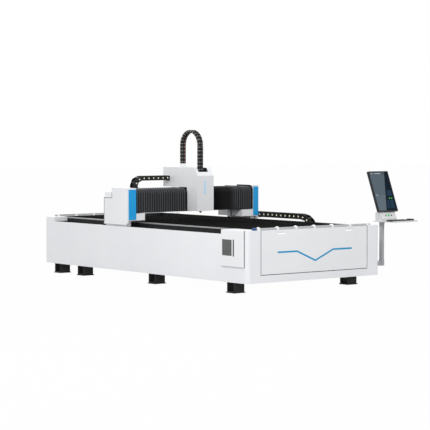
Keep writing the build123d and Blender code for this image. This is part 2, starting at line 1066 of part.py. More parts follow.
def head_cover():
    shell = [
        (head_front, head_bottom),
        (head_depth, head_bottom),
        (head_depth, hood_underside),
        (head_rear, hood_underside),
        (head_rear, head_top),
        (head_front + bevel_depth, head_top),
        (head_front, head_top - bevel_height),
    ]
    wall = head_wall
    slope = bevel_height / bevel_depth
    inner_bevel = wall * (slope * slope + 1) ** 0.5 - wall * slope
    room = [
        (head_front + wall, head_bottom - overrun),
        (head_depth + overrun, head_bottom - overrun),
        (head_depth + overrun, hood_underside - overrun),
        (head_rear - wall, hood_underside - overrun),
        (head_rear - wall, head_top - wall),
        (head_front + bevel_depth + (inner_bevel - wall) / slope + wall, head_top - wall),
        (head_front + wall, head_top - bevel_height - inner_bevel),
    ]
    cover = along_x(shell, (head_left, head_right))
    cover -= along_x(room, (head_left + wall, head_right - wall))
    mouth_x = head_chain_x - head_chain_width / 2 - running_gap * 2
    cover -= block(
        (mouth_x, mouth_x + mouth_width),
        (head_front + mouth_front, head_front + mouth_front + mouth_depth),
        (head_top - bevel_height - overrun, head_top + overrun),
    )
    post_y = head_chain_front + 2 * head_chain_radius
    post_x = span(head_chain_x, head_chain_width)
    post_side = span(post_y, head_chain_height + 2 * chain_post_wall)
    anchor_z = span(beam_chain_top - beam_chain_height / 2, beam_chain_height)
    anchor = block((head_left - beam_chain_anchor, head_left), span(beam_chain_y, beam_chain_width), anchor_z)
    return cover + block(post_x, post_side, (head_top, head_chain_base)) + anchor


def carriage_plate():
    outline = [
        (carriage_front, carriage_foot),
        (carriage_back, carriage_foot),
        (carriage_back, bridge_underside),
        (bridge_rear, bridge_underside),
        (bridge_rear, bridge_top),
        (carriage_back, bridge_top),
        (carriage_back, carriage_top),
        (carriage_front, carriage_top),
    ]
    x = (head_left + head_wall, head_right - head_wall)
    hole = upright(
        head_offset,
        carriage_pinion_y,
        (bridge_underside - overrun, bridge_top + overrun),
        shaft_radius + shaft_gap,
    )
    return along_x(outline, x) - hole


def carriage_blocks():
    blocks = []
    for share in (lower_rail_share, upper_rail_share):
        z = leg_top + share * beam_height
        for side in (-1, 1):
            x = head_offset + side * carriage_block_spacing / 2
            body = block(
                span(x, carriage_block_length),
                (carriage_back, beam_front - block_lift),
                span(z, carriage_block_width),
            )
            slot = block(
                span(x, carriage_block_length + overrun),
                (beam_front - beam_rail_height - block_slot_gap, beam_front),
                span(z, beam_rail_width + 2 * block_slot_gap),
            )
            blocks.append(body - slot)
    return group(blocks)


def carriage_drive():
    return drive_unit(head_offset, carriage_pinion_y, bridge_top)


def lift_guides():
    pieces = []
    for side in (-1, 1):
        x = head_offset + side * lift_rail_spacing / 2
        profile = rail_outline(lift_rail_width, lift_rail_height)
        outline = [(x + out, carriage_front - up) for out, up in profile]
        pieces.append(along_z(outline, (lift_rail_bottom, lift_rail_top)))
    for bottom in (carriage_foot, lift_rail_top):
        z = (bottom, bottom + screw_bearing_height)
        body = block(span(head_offset, nut_width), (screw_y - screw_standoff, carriage_front), z)
        bore = upright(head_offset, screw_y, (z[0] - overrun, z[1] + overrun), screw_radius + seat_gap)
        pieces.append(body - bore)
    return group(pieces)


def lift_screw():
    return upright(head_offset, screw_y, (carriage_foot, lift_rail_top + screw_bearing_height), screw_radius)


def lift_motor():
    bottom = lift_rail_top + screw_bearing_height
    y = (carriage_front - lift_motor_width, carriage_front)
    motor = block(span(head_offset, lift_motor_width), y, (bottom + seat_gap, bottom + lift_motor_height))
    return chamfer(motor.edges().filter_by(Axis.Z), motor_corner)


def lift_slide():
    z = (lift_plate_bottom, lift_plate_bottom + lift_plate_height)
    slide = block(span(head_offset, lift_plate_width), (lift_front, lift_back), z)
    ends = (z[0] + lift_block_length / 2, z[1] - lift_block_length / 2)
    for side in (-1, 1):
        x = head_offset + side * lift_rail_spacing / 2
        for level in ends:
            body = block(
                span(x, lift_block_width),
                (lift_back, carriage_front - lift_block_gap),
                span(level, lift_block_length),
            )
            body -= block(
                span(x, lift_rail_width + 2 * block_slot_gap),
                (carriage_front - lift_rail_height - block_slot_gap, carriage_front),
                span(level, lift_block_length + overrun),
            )
            slide += body
    middle = (z[0] + z[1]) / 2
    nut_y = (lift_back, carriage_front - lift_block_gap)
    nut = block(span(head_offset, nut_width), nut_y, span(middle, nut_height))
    nut -= upright(head_offset, screw_y, span(middle, nut_height + overrun), screw_radius + screw_gap)
    return slide + nut


def cutting_head():
    body = block(span(head_offset, optic_width), span(optic_y, optic_width), (optic_bottom, optic_top))
    body = chamfer(body.edges().filter_by(Axis.Z), motor_corner)
    neck_bottom = optic_bottom - optic_neck_height
    body += upright(head_offset, optic_y, (neck_bottom, optic_bottom), optic_neck_radius)
    collar = (neck_bottom, neck_bottom + optic_collar_height)
    body += upright(head_offset, optic_y, collar, optic_collar_radius)
    middle = lift_plate_bottom + lift_plate_height / 2
    bracket_y = (optic_y + optic_width / 2, lift_front)
    body += block(span(head_offset, optic_width), bracket_y, span(middle, optic_bracket_height))
    shelf_z = (head_chain_end - cable_shelf_height, head_chain_end)
    shelf_x = span(head_chain_x, head_chain_width)
    body += block(shelf_x, (head_chain_front - head_chain_height / 2, optic_y), shelf_z)
    post = (optic_y - cable_shelf_height, optic_y)
    return body + block(shelf_x, post, (optic_top, shelf_z[1]))


def nozzle():
    top = optic_bottom - optic_neck_height
    outline = [
        (nozzle_bore, nozzle_tip),
        (nozzle_tip_radius, nozzle_tip),
        (nozzle_root_radius, top - nozzle_collar),
        (nozzle_root_radius, top),
        (nozzle_bore, top),
    ]
    rim = Polyline(*[(x, 0, z) for x, z in outline], close=True)
    return Pos(head_offset, optic_y, 0) * revolve(make_face(rim), Axis.Z)


def console_arm():
    arm_x = (half_width + flange_thickness, console_x)
    arm = block(arm_x, span(console_y, arm_width), (arm_bottom, arm_bottom + arm_height))
    middle = arm_bottom + arm_height / 2
    flange = block(
        (half_width, half_width + flange_thickness),
        span(console_y, flange_width),
        span(middle, flange_height),
    )
    sleeve = upright(console_x, console_y, (arm_bottom, sleeve_top), sleeve_radius)
    deep = (arm_bottom + post_wall, sleeve_top + overrun)
    bore = upright(console_x, console_y, deep, pivot_radius + pivot_gap)
    return arm + flange + sleeve - bore


def console_post():
    z = (sleeve_top, tray_top - tray_thickness)
    post = block(span(console_x, post_width), span(console_y, post_width), z)
    post += upright(console_x, console_y, (arm_bottom + post_wall, sleeve_top + overrun), pivot_radius)
    return post


def keyboard_tray():
    x = (tray_right - tray_width, tray_right)
    z = (tray_top - tray_thickness, tray_top)
    tray = block(x, (tray_front, tray_front + tray_depth), z)
    lip = block(x, (tray_front, tray_front + tray_thickness), (tray_top, tray_top + tray_lip))
    plate_x = (console_x - box_width / 2, x[0])
    plate_y = (box_front, tray_front + tray_depth + post_width)
    rear_plate = block((plate_x[0], x[1] - tray_width / 2), plate_y, z)
    return tray + lip + rear_plate


def control_box():
    outline = [
        (box_rear, tray_top),
        (box_front, tray_top),
        (box_front, tray_top + box_sill),
        (box_front + box_lean, box_top),
        (box_rear, box_top),
    ]
    box = along_x(outline, span(console_x, box_width))
    for place, radius in button_places():
        box -= place * Cylinder(radius + button_gap, 2 * (button_stem + button_travel))
    return box


def button_places():
    slope = Vector(0, box_lean, box_top - tray_top - box_sill)
    middle = Vector(console_x, box_front, tray_top + box_sill) + slope / 2
    normal = Vector(0, -slope.Z, slope.Y).normalized()
    places = []
    for step, radius in ((0, start_radius), (-1, side_button_radius), (1, side_button_radius)):
        spot = middle + Vector(step * button_spacing, 0, 0)
        places.append((Plane(origin=spot, x_dir=(1, 0, 0), z_dir=normal), radius))
    return places


def button(number):
    place, radius = button_places()[number]
    height = button_stem + button_proud
    cap = Cylinder(radius, height, align=(Align.CENTER, Align.CENTER, Align.MIN))
    cap = chamfer(cap.edges().sort_by(Axis.Z)[-1], radius * button_edge_share)
    return place * Pos(0, 0, -button_stem) * cap


def monitor_plane():
    origin = (console_x, monitor_foot, monitor_lift)
    return Plane(origin=origin, x_dir=(1, 0, 0), z_dir=(0, -cos(lean), sin(lean)))


def monitor():
    housing = block(span(0, monitor_width), (0, monitor_length), (-monitor_depth, 0))
    bezel = monitor_bezel
    housing -= block(
        span(0, monitor_width - 2 * bezel),
        (bezel, monitor_length - bezel),
        (-screen_recess - screen_thickness, overrun),
    )
    return monitor_plane() * housing


def screen():
    bezel = monitor_bezel + seat_gap
    deep = -screen_recess - screen_thickness
    glass = block(
        span(0, monitor_width - 2 * bezel),
        (bezel, monitor_length - bezel),
        (deep, deep + screen_thickness),
    )
    return monitor_plane() * glass


def monitor_back(z):
    low = monitor_lift - monitor_depth * sin(lean)
    return monitor_foot + monitor_depth * cos(lean) + (z - low) * tan(lean) + seat_gap


def monitor_stand():
    top = box_top + stand_height
    outline = [
        (monitor_back(box_top), box_top),
        (box_rear, box_top),
        (monitor_back(top) + post_width / 2, top),
        (monitor_back(top), top),
    ]
    return along_x(outline, span(console_x, stand_width))


def keyboard():
    near = tray_front + tray_thickness + keyboard_inset
    y = (near, near + keyboard_depth)
    left = tray_right - tray_width + keyboard_inset
    outline = [
        (y[0], tray_top),
        (y[1], tray_top),
        (y[1], tray_top + keyboard_height),
        (y[0], tray_top + keyboard_height - keyboard_slope),
    ]
    keys = along_x(outline, (left, left + keyboard_width))
    mouse_left = left + keyboard_width + mouse_gap
    mouse_x = (mouse_left, mouse_left + mouse_width)
    mouse = block(mouse_x, (near, near + mouse_depth), (tray_top, tray_top + mouse_height))
    top = mouse.faces().sort_by(Axis.Z)[-1]
    return group([keys, fillet(top.edges(), mouse_height * mouse_round_share)])


nodes = {
    "bed_left_side": bed_side(),
    "bed_right_side": other_side(bed_side()),
    "bed_front_frame": bed_front_frame(),
    "bed_rear_frame": bed_rear_frame(),
    "table_frame": table_frame(),
    "feet": feet(),
    "slats": slats(),
    "rail_guards": pair(rail_guard()),
    "guard_caps": pair(guard_cap()),
    "bed_guides": group([bed_rail(), other_side(bed_rail()), bed_rack(), other_side(bed_rack())]),
    "roller_bars": roller_bars(),
    "ball_rollers": ball_rollers(),
    "edge_stop": edge_stop(),
    "access_cover": access_cover(),
    "access_window": access_window(),
    "chain_tray": chain_tray(),
    "long_chain_lower": long_chain_lower(),
    "console_arm": console_arm(),
    "drawer_front": drawer_front(),
    "drawer_tray": drawer_tray(),
    "beam": beam(),
    "gantry_legs": pair(gantry_leg()),
    "left_end_cover": end_cover(left_cover_width),
    "right_end_cover": right_end_cover(),
    "end_trims": end_trims(),
    "rail_blocks": rail_blocks(),
    "gantry_drives": gantry_drives(),
    "beam_guides": group(beam_rails() + [beam_rack()]),
    "beam_chain_trough": beam_chain_trough(),
    "beam_chain_lower": beam_chain_run(-beam_chain_radius),
    "left_bellows": bellows(-left_cover_inner, head_left),
    "right_bellows": bellows(right_cover_inner, head_right),
    "long_chain_upper": long_chain_upper(),
    "long_chain_bend": long_chain_bend(),
    "beam_chain_bend": beam_chain_bend(),
    "left_pinion": gantry_pinion(),
    "right_pinion": other_side(gantry_pinion()),
    "carriage_pinion": carriage_pinion(),
    "carriage_plate": carriage_plate(),
    "carriage_blocks": carriage_blocks(),
    "carriage_drive": carriage_drive(),
    "head_cover": head_cover(),
    "beam_chain_upper": beam_chain_run(beam_chain_radius),
    "lift_guides": lift_guides(),
    "lift_screw": lift_screw(),
    "lift_motor": lift_motor(),
    "head_chain": head_chain(),
    "lift_slide": lift_slide(),
    "cutting_head": cutting_head(),
    "nozzle": nozzle(),
    "console_post": console_post(),
    "control_box": control_box() + monitor_stand(),
    "monitor": monitor(),
    "screen": screen(),
    "keyboard_tray": keyboard_tray(),
    "keyboard": keyboard(),
    "start_button": button(0),
    "left_button": button(1),
    "right_button": button(2),
}

os.makedirs("parts", exist_ok=True)
for name, piece in nodes.items():
    export_step(Pos(-frame_shift, 0, 0) * piece, os.path.join("parts", name + ".step"))
print("frame shift", frame_shift)
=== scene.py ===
import bmesh
import bpy
import math
from mathutils import Euler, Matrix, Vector


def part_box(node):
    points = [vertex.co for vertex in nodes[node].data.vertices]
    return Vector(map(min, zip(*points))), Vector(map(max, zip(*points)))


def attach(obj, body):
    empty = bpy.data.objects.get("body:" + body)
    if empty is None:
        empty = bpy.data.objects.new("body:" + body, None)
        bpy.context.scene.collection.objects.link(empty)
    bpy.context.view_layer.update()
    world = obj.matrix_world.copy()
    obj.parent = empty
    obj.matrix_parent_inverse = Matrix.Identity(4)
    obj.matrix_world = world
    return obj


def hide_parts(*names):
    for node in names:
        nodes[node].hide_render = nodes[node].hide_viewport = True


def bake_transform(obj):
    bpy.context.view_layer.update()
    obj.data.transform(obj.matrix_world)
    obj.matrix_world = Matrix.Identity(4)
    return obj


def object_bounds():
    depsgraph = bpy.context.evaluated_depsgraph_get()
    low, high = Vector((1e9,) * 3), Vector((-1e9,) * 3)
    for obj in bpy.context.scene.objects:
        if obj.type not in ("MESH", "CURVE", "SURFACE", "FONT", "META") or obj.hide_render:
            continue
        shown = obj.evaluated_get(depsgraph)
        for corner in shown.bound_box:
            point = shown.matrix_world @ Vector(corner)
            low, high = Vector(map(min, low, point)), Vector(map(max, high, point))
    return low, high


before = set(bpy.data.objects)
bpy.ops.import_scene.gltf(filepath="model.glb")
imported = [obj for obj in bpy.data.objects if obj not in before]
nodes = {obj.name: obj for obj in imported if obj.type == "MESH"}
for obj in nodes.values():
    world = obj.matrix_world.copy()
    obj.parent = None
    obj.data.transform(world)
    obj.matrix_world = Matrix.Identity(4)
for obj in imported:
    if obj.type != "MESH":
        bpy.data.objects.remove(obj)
cadLow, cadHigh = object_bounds()
scene = bpy.context.scene


# places read from the frame
def low(node):
    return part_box(node)[0]


def high(node):
    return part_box(node)[1]


def middle(node):
    return (low(node) + high(node)) / 2


flatSet = {"turn": 0.999, "offset": 1e-4, "digits": 3}


def facePlane(node, direction):
    # the node's flat face that looks most along a direction: corner, right, up, outward, width and height
    wanted = Vector(direction).normalized()
    mesh = nodes[node].data
    best = max(mesh.polygons, key=lambda face: (round(face.normal.dot(wanted), flatSet["digits"]), face.area))
    outward = best.normal.normalized()
    right = Vector((1, 0, 0))
    up = outward.cross(right)
    turned = [face for face in mesh.polygons if face.normal.dot(outward) > flatSet["turn"]]
    flat = [face for face in turned if abs((face.center - best.center).dot(outward)) < flatSet["offset"]]
    spots = [mesh.vertices[i].co for face in flat for i in face.vertices]
    across = [spot.dot(right) for spot in spots]
    along = [spot.dot(up) for spot in spots]
    corner = right * min(across) + up * min(along) + outward * spots[0].dot(outward)
    return corner, right, up, outward, max(across) - min(across), max(along) - min(along)


bedX = middle("slats").x
print("frame loaded, bed centre", round(bedX, 4))


# node helpers
def setInputs(tree, node, inputs):
    for name, value in inputs.items():
        if isinstance(value, bpy.types.NodeSocket):
            tree.links.new(value, node.inputs[name])
        else:
            node.inputs[name].default_value = value


def addNode(tree, kind, inputs=None, **settings):
    node = tree.nodes.new(kind)
    for name, value in settings.items():
        setattr(node, name, value)
    setInputs(tree, node, inputs or {})
    return node


def addMath(tree, kind, *values):
    return addNode(tree, "ShaderNodeMath", dict(enumerate(values)), operation=kind).outputs["Value"]


def joinMasks(tree, masks, how):
    whole = masks[0]
    for mask in masks[1:]:
        whole = addMath(tree, how, whole, mask)
    return whole


def objectPlace(tree):
    return addNode(tree, "ShaderNodeTexCoord").outputs["Object"]


def objectAxis(tree, axis):
    return addNode(tree, "ShaderNodeSeparateXYZ", {"Vector": objectPlace(tree)}).outputs[axis]


def ownShare(tree, name):
    return addNode(tree, "ShaderNodeAttribute", attribute_name=name).outputs["Fac"]


noiseSet = {"detail": 3, "span": (0.3, 0.7)}


def noiseFrom(tree, scale, stretch=(1, 1, 1)):
    spread = addNode(tree, "ShaderNodeMapping", {"Vector": objectPlace(tree), "Scale": stretch})
    values = {"Vector": spread.outputs["Vector"], "Scale": scale, "Detail": noiseSet["detail"]}
    return addNode(tree, "ShaderNodeTexNoise", values).outputs["Fac"]


def waveFrom(tree, direction, scale, waver=0):
    values = {"Vector": objectPlace(tree), "Scale": scale, "Distortion": waver}
    return addNode(tree, "ShaderNodeTexWave", values, bands_direction=direction).outputs["Fac"]


def mixTones(tree, factor, *tones):
    first, second = [tone if isinstance(tone, bpy.types.NodeSocket) else (*tone, 1) for tone in tones]
    values = {"Factor": factor, 6: first, 7: second}
    return addNode(tree, "ShaderNodeMix", values, data_type="RGBA").outputs[2]


def spreadRange(tree, value, start, end, span=noiseSet["span"]):
    values = {"Value": value, "From Min": span[0], "From Max": span[1], "To Min": start, "To Max": end}
    return addNode(tree, "ShaderNodeMapRange", values).outputs["Result"]


def cloudShare(tree, scale, stretch=(1, 1, 1)):
    return spreadRange(tree, noiseFrom(tree, scale, stretch), 0, 1)


def insideSpan(tree, axis, start, end):
    # 1 where the place along an axis lies between two values
    return addMath(tree, "COMPARE", objectAxis(tree, axis), (start + end) / 2, (end - start) / 2)


def bumpFrom(tree, height, strength, distance):
    values = {"Strength": strength, "Distance": distance, "Height": height}
    return addNode(tree, "ShaderNodeBump", values).outputs["Normal"]


# finishes
def newFinish(name):
    finish = bpy.data.materials.new(name)
    finish.use_nodes = True
    tree = finish.node_tree
    return finish, tree, tree.nodes["Principled BSDF"]


grainDepth = 0.0006


def grainFinish(name, tone, shade, rough, patch, grain, bump, metal=0, stretch=(1, 1, 1), coat=0, shine=0.5):
    finish, tree, shader = newFinish(name)
    fine = noiseFrom(tree, grain, stretch)
    setInputs(tree, shader, {
        "Base Color": mixTones(tree, cloudShare(tree, patch, stretch), tone, shade),
        "Roughness": spreadRange(tree, fine, *rough), "Metallic": metal, "Coat Weight": coat,
        "Specular IOR Level": shine, "Normal": bumpFrom(tree, fine, bump, grainDepth),
    })
    return finish


bedPaintSet = {
    "white": (0.80, 0.81, 0.83), "shade": (0.765, 0.775, 0.80), "dark": (0.012, 0.012, 0.013), "skin": 0.0006,
    "wall": 0.008, "slatGap": 0.05, "patch": 1.5, "peel": 420, "rough": (0.34, 0.42), "bump": 0.06,
}


def bedPaint():
    # white outside, black in the guide slots and inside the table well
    values = bedPaintSet
    finish, tree, shader = newFinish("bedPaint")
    skin = values["skin"]
    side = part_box("bed_left_side")
    slotX = bedX - side[0].x - values["wall"] + skin
    slot = [
        insideSpan(tree, "X", bedX - slotX, bedX + slotX),
        insideSpan(tree, "Z", low("bed_guides").z - skin, side[1].z + skin),
        insideSpan(tree, "Y", side[0].y - skin, side[1].y + skin),
    ]
    wellX = high("rail_guards").x - bedX - values["wall"] + skin
    gap = values["slatGap"] + skin
    well = [
        insideSpan(tree, "X", bedX - wellX, bedX + wellX),
        insideSpan(tree, "Y", low("slats").y - gap, high("slats").y + gap),
        insideSpan(tree, "Z", 0.0, cadHigh.z),
    ]
    mask = joinMasks(tree, [joinMasks(tree, spans, "MULTIPLY") for spans in (slot, well)], "MAXIMUM")
    white = mixTones(tree, cloudShare(tree, values["patch"]), values["white"], values["shade"])
    peel = noiseFrom(tree, values["peel"])
    setInputs(tree, shader, {
        "Base Color": mixTones(tree, mask, white, values["dark"]),
        "Roughness": spreadRange(tree, peel, *values["rough"]),
        "Normal": bumpFrom(tree, peel, values["bump"], grainDepth),
    })
    return finish


slatTones = {
    "steel": (0.012, 0.0122, 0.013), "dark": (0.005, 0.005, 0.0055), "burn": (0.013, 0.012, 0.012),
    "burnDepth": 0.02, "streak": 30, "stretch": (0.4, 1, 4), "rough": (0.45, 0.65), "shine": 0.1, "bump": 0.2,
    "depth": 0.0005,
}


def slatFinish():
    # mill steel with streaks and burn along the upper edge
    values = slatTones
    finish, tree, shader = newFinish("slatSteel")
    streak = cloudShare(tree, values["streak"], values["stretch"])
    steel = mixTones(tree, streak, values["steel"], values["dark"])
    top = high("slats").z
    edge = spreadRange(tree, objectAxis(tree, "Z"), 0, 1, (top - values["burnDepth"], top))
    setInputs(tree, shader, {
        "Base Color": mixTones(tree, edge, steel, values["burn"]), "Specular IOR Level": values["shine"],
        "Roughness": spreadRange(tree, streak, *values["rough"], (0, 1)),
        "Normal": bumpFrom(tree, streak, values["bump"], values["depth"]),
    })
    return finish


# crest is a painted highlight on the folds, valley a painted shade in them and dim a painted shadow
clothSet = {
    "tone": (0.032, 0.034, 0.038), "shade": (0.026, 0.028, 0.031), "crest": (0.120, 0.126, 0.136),
    "valley": (0.008, 0.008, 0.009), "dim": (0.006, 0.006, 0.007), "crestSpan": (0.08, 0.22),
    "valleySpan": (0.4, 0.9), "thread": 160, "waver": 0.4, "patch": 8, "rough": 0.55, "shine": 0.2,
    "bump": 0.25, "depth": 0.0004,
}


def clothFinish(name, paintedShadowSpan=None):
    # coated cloth with a fine weave; the crests carry a painted highlight, the valleys a painted shade, and a
    # given share of the run a painted shadow
    values = clothSet
    finish, tree, shader = newFinish(name)
    threads = [waveFrom(tree, direction, values["thread"], values["waver"]) for direction in ("X", "Z")]
    weave = joinMasks(tree, threads, "MULTIPLY")
    cloth = mixTones(tree, cloudShare(tree, values["patch"]), values["tone"], values["shade"])
    fold = ownShare(tree, "foldShare")
    cloth = mixTones(tree, spreadRange(tree, fold, 0, 1, values["valleySpan"]), cloth, values["valley"])
    cloth = mixTones(tree, spreadRange(tree, fold, 1, 0, values["crestSpan"]), cloth, values["crest"])
    # painted shadow of the cutting head on the part of the run next to it
    if paintedShadowSpan:
        dim = spreadRange(tree, ownShare(tree, "runShare"), 0, 1, paintedShadowSpan)
        cloth = mixTones(tree, dim, cloth, values["dim"])
    setInputs(tree, shader, {
        "Base Color": cloth, "Roughness": values["rough"], "Specular IOR Level": values["shine"],
        "Normal": bumpFrom(tree, weave, values["bump"], values["depth"]),
    })
    return finish


glowSet = {"dimShare": 0.85, "patch": 120, "rough": 0.3}


def glowFinish(name, tone, glow, shine=0.15):
    finish, tree, shader = newFinish(name)
    dim = tuple(glowSet["dimShare"] * part for part in tone)
    mixed = mixTones(tree, cloudShare(tree, glowSet["patch"]), tone, dim)
    setInputs(tree, shader, {
        "Base Color": mixed, "Emission Color": mixed, "Emission Strength": glow, "Specular IOR Level": shine,
        "Roughness": glowSet["rough"],
    })
    return finish


brushX, brushY = (0.05, 1, 1), (1, 0.05, 1)
# the paint tone is a painted shade laid over the right cap strip
capTones = {
    "metal": (0.46, 0.47, 0.48), "shade": (0.38, 0.39, 0.40), "paint": (0.012, 0.012, 0.013), "patch": 25,
    "metallic": (0.75, 0), "rough": (0.38, 0.65), "shine": 0.25,
}


def capFinish():
    # bare metal on the left cap strip; the right one gets a near-black painted shade
    values = capTones
    finish, tree, shader = newFinish("capStrip")
    right = insideSpan(tree, "X", bedX, cadHigh.x)
    metal = mixTones(tree, cloudShare(tree, values["patch"], brushY), values["metal"], values["shade"])
    setInputs(tree, shader, {
        "Base Color": mixTones(tree, right, metal, values["paint"]), "Specular IOR Level": values["shine"],
        "Metallic": spreadRange(tree, right, *values["metallic"], (0, 1)),
        "Roughness": spreadRange(tree, right, *values["rough"], (0, 1)),
    })
    return finish


threadTones = {
    "root": (0.30, 0.30, 0.31), "crest": (0.56, 0.57, 0.58), "turns": 32, "rough": 0.25, "bump": 0.8,
    "depth": 0.003,
}


def threadFinish():
    # ground steel with the turns of a fine screw thread; the darker roots are painted shade and the paler
    # crests painted highlight
    values = threadTones
    finish, tree, shader = newFinish("screwSteel")
    wave = waveFrom(tree, "Z", values["turns"])
    setInputs(tree, shader, {
        "Base Color": mixTones(tree, wave, values["root"], values["crest"]), "Metallic": 1,
        "Roughness": values["rough"], "Normal": bumpFrom(tree, wave, values["bump"], values["depth"]),
    })
    return finish


# each row: tone, shade, roughness, patch scale, grain scale and bump
grainSet = {
    "panelPaint": ((0.80, 0.81, 0.83), (0.77, 0.78, 0.80), (0.34, 0.42), 1.5, 420, 0.06),
    "blackPaint": ((0.011, 0.011, 0.012), (0.016, 0.016, 0.017), (0.45, 0.6), 6, 700, 0.25),
    "tableSteel": ((0.010, 0.010, 0.011), (0.016, 0.016, 0.016), (0.55, 0.8), 9, 300, 0.3),
    "guideSteel": ((0.52, 0.53, 0.55), (0.44, 0.45, 0.47), (0.2, 0.35), 30, 400, 0.08),
    "slideSilver": ((0.46, 0.47, 0.48), (0.38, 0.39, 0.40), (0.3, 0.45), 25, 500, 0.1),
    "barGrey": ((0.50, 0.51, 0.52), (0.43, 0.44, 0.45), (0.3, 0.45), 20, 500, 0.1),
    "ballWhite": ((0.86, 0.86, 0.86), (0.80, 0.80, 0.81), (0.12, 0.2), 20, 300, 0.02),
    "stopBlue": ((0.008, 0.050, 0.20), (0.009, 0.056, 0.23), (0.35, 0.5), 20, 600, 0.1),
    "trimBlue": ((0.016, 0.335, 0.710), (0.014, 0.315, 0.68), (0.35, 0.45), 4, 500, 0.05),
    "stripeBlue": ((0.022, 0.305, 0.560), (0.020, 0.290, 0.53), (0.35, 0.45), 4, 500, 0.05),
    "paneGrey": ((0.066, 0.067, 0.069), (0.057, 0.058, 0.060), (0.25, 0.35), 8, 500, 0.04),
    "chainBlack": ((0.010, 0.010, 0.011), (0.016, 0.016, 0.017), (0.38, 0.5), 14, 500, 0.1),
    "chainPlug": ((0.93, 0.88, 0.66), (0.88, 0.82, 0.60), (0.35, 0.5), 60, 600, 0.05),
    "cableRed": ((0.22, 0.022, 0.026), (0.16, 0.016, 0.020), (0.4, 0.5), 20, 600, 0.05),
    "cableDark": ((0.014, 0.014, 0.015), (0.022, 0.022, 0.023), (0.4, 0.5), 20, 600, 0.05),
    "glintGrey": ((0.40, 0.39, 0.38), (0.26, 0.26, 0.25), (0.4, 0.55), 60, 700, 0.05),
    "driveBlack": ((0.018, 0.018, 0.020), (0.028, 0.028, 0.030), (0.4, 0.55), 12, 500, 0.2),
    "opticSilver": ((0.55, 0.56, 0.58), (0.48, 0.49, 0.51), (0.25, 0.4), 16, 500, 0.06),
    "nozzleCopper": ((0.52, 0.34, 0.24), (0.42, 0.27, 0.19), (0.2, 0.35), 60, 600, 0.05),
    "postGrey": ((0.42, 0.43, 0.45), (0.39, 0.40, 0.42), (0.35, 0.45), 4, 500, 0.06),
    "consoleWhite": ((0.66, 0.67, 0.68), (0.62, 0.63, 0.64), (0.35, 0.45), 5, 500, 0.06),
    "monitorGrey": ((0.024, 0.027, 0.031), (0.019, 0.021, 0.024), (0.35, 0.5), 10, 700, 0.1),
    "screenGlass": ((0.012, 0.016, 0.022), (0.016, 0.020, 0.028), (0.08, 0.14), 4, 500, 0.01),
    "keyBlack": ((0.018, 0.018, 0.019), (0.026, 0.026, 0.027), (0.45, 0.6), 30, 900, 0.15),
    "buttonDark": ((0.03, 0.03, 0.035), (0.045, 0.045, 0.05), (0.3, 0.4), 60, 700, 0.05),
    # black of the dark lines, most of them painted shadow lines
    "darkLineBlack": ((0.020, 0.020, 0.021), (0.028, 0.028, 0.029), (0.6, 0.8), 30, 700, 0.1),
    "gripWhite": ((0.93, 0.93, 0.93), (0.90, 0.90, 0.90), (0.3, 0.4), 20, 600, 0.03),
    "slotBlack": ((0.006, 0.006, 0.006), (0.010, 0.010, 0.010), (0.6, 0.8), 20, 600, 0.1),
}
grainExtra = {
    "blackPaint": {"shine": 0.25}, "tableSteel": {"shine": 0.2}, "trimBlue": {"shine": 0.2},
    "stripeBlue": {"shine": 0.2}, "chainBlack": {"shine": 0.25}, "cableDark": {"shine": 0.25},
    "monitorGrey": {"shine": 0.25}, "darkLineBlack": {"shine": 0.2}, "paneGrey": {"coat": 0.3},
    "screenGlass": {"coat": 0.5}, "driveBlack": {"metal": 0.2}, "opticSilver": {"metal": 0.8},
    "nozzleCopper": {"metal": 1}, "guideSteel": {"metal": 1, "stretch": brushY},
    "slideSilver": {"metal": 0.75, "stretch": brushY}, "barGrey": {"metal": 0.4, "stretch": brushX},
}
finishes = {name: grainFinish(name, *values, **grainExtra.get(name, {})) for name, values in grainSet.items()}
finishes.update({
    "bedPaint": bedPaint(), "slatSteel": slatFinish(), "capStrip": capFinish(), "screwSteel": threadFinish(),
    "bellowsCloth": clothFinish("bellowsCloth"),
    # the right bellows gets a painted shadow of the cutting head near the head
    "bellowsShade": clothFinish("bellowsShade", paintedShadowSpan=(0.36, 0.46)),
    "buttonGreen": glowFinish("buttonGreen", (0.02, 0.42, 0.10), 0.35),
    "haloPale": glowFinish("haloPale", (0.55, 0.80, 0.62), 0.15),
    "stripLight": glowFinish("stripLight", (0.045, 0.50, 0.86), 0.35),
})
nodeFinish = {
    "bedPaint": "bed_left_side bed_right_side bed_front_frame bed_rear_frame",
    "panelPaint": "drawer_front access_cover left_end_cover right_end_cover head_cover gantry_legs"
                  " chain_tray",
    "blackPaint": "feet rail_guards beam beam_chain_trough",
    "tableSteel": "table_frame drawer_tray carriage_plate",
    "guideSteel": "bed_guides beam_guides lift_guides rail_blocks carriage_blocks left_pinion right_pinion"
                  " carriage_pinion",
    "chainBlack": "long_chain_upper long_chain_lower long_chain_bend beam_chain_upper beam_chain_lower"
                  " beam_chain_bend head_chain",
    "slatSteel": "slats", "capStrip": "guard_caps", "slideSilver": "lift_slide", "barGrey": "roller_bars",
    "ballWhite": "ball_rollers", "stopBlue": "edge_stop", "trimBlue": "end_trims", "monitorGrey": "monitor",
    "bellowsCloth": "left_bellows right_bellows", "driveBlack": "gantry_drives carriage_drive lift_motor",
    "opticSilver": "cutting_head", "nozzleCopper": "nozzle", "screwSteel": "lift_screw",
    "postGrey": "console_arm console_post", "consoleWhite": "control_box keyboard_tray",
    "screenGlass": "screen", "keyBlack": "keyboard", "paneGrey": "access_window",
    "buttonGreen": "start_button", "buttonDark": "left_button right_button",
}
dressed = [(name, finish) for finish, names in nodeFinish.items() for name in names.split()]
for name, finish in dressed:
    nodes[name].data.materials.clear()
    nodes[name].data.materials.append(finishes[finish])
print("finishes", len(finishes), "on nodes", len(dressed))


# meshes, pieces and node trees
weldGap = 1e-6


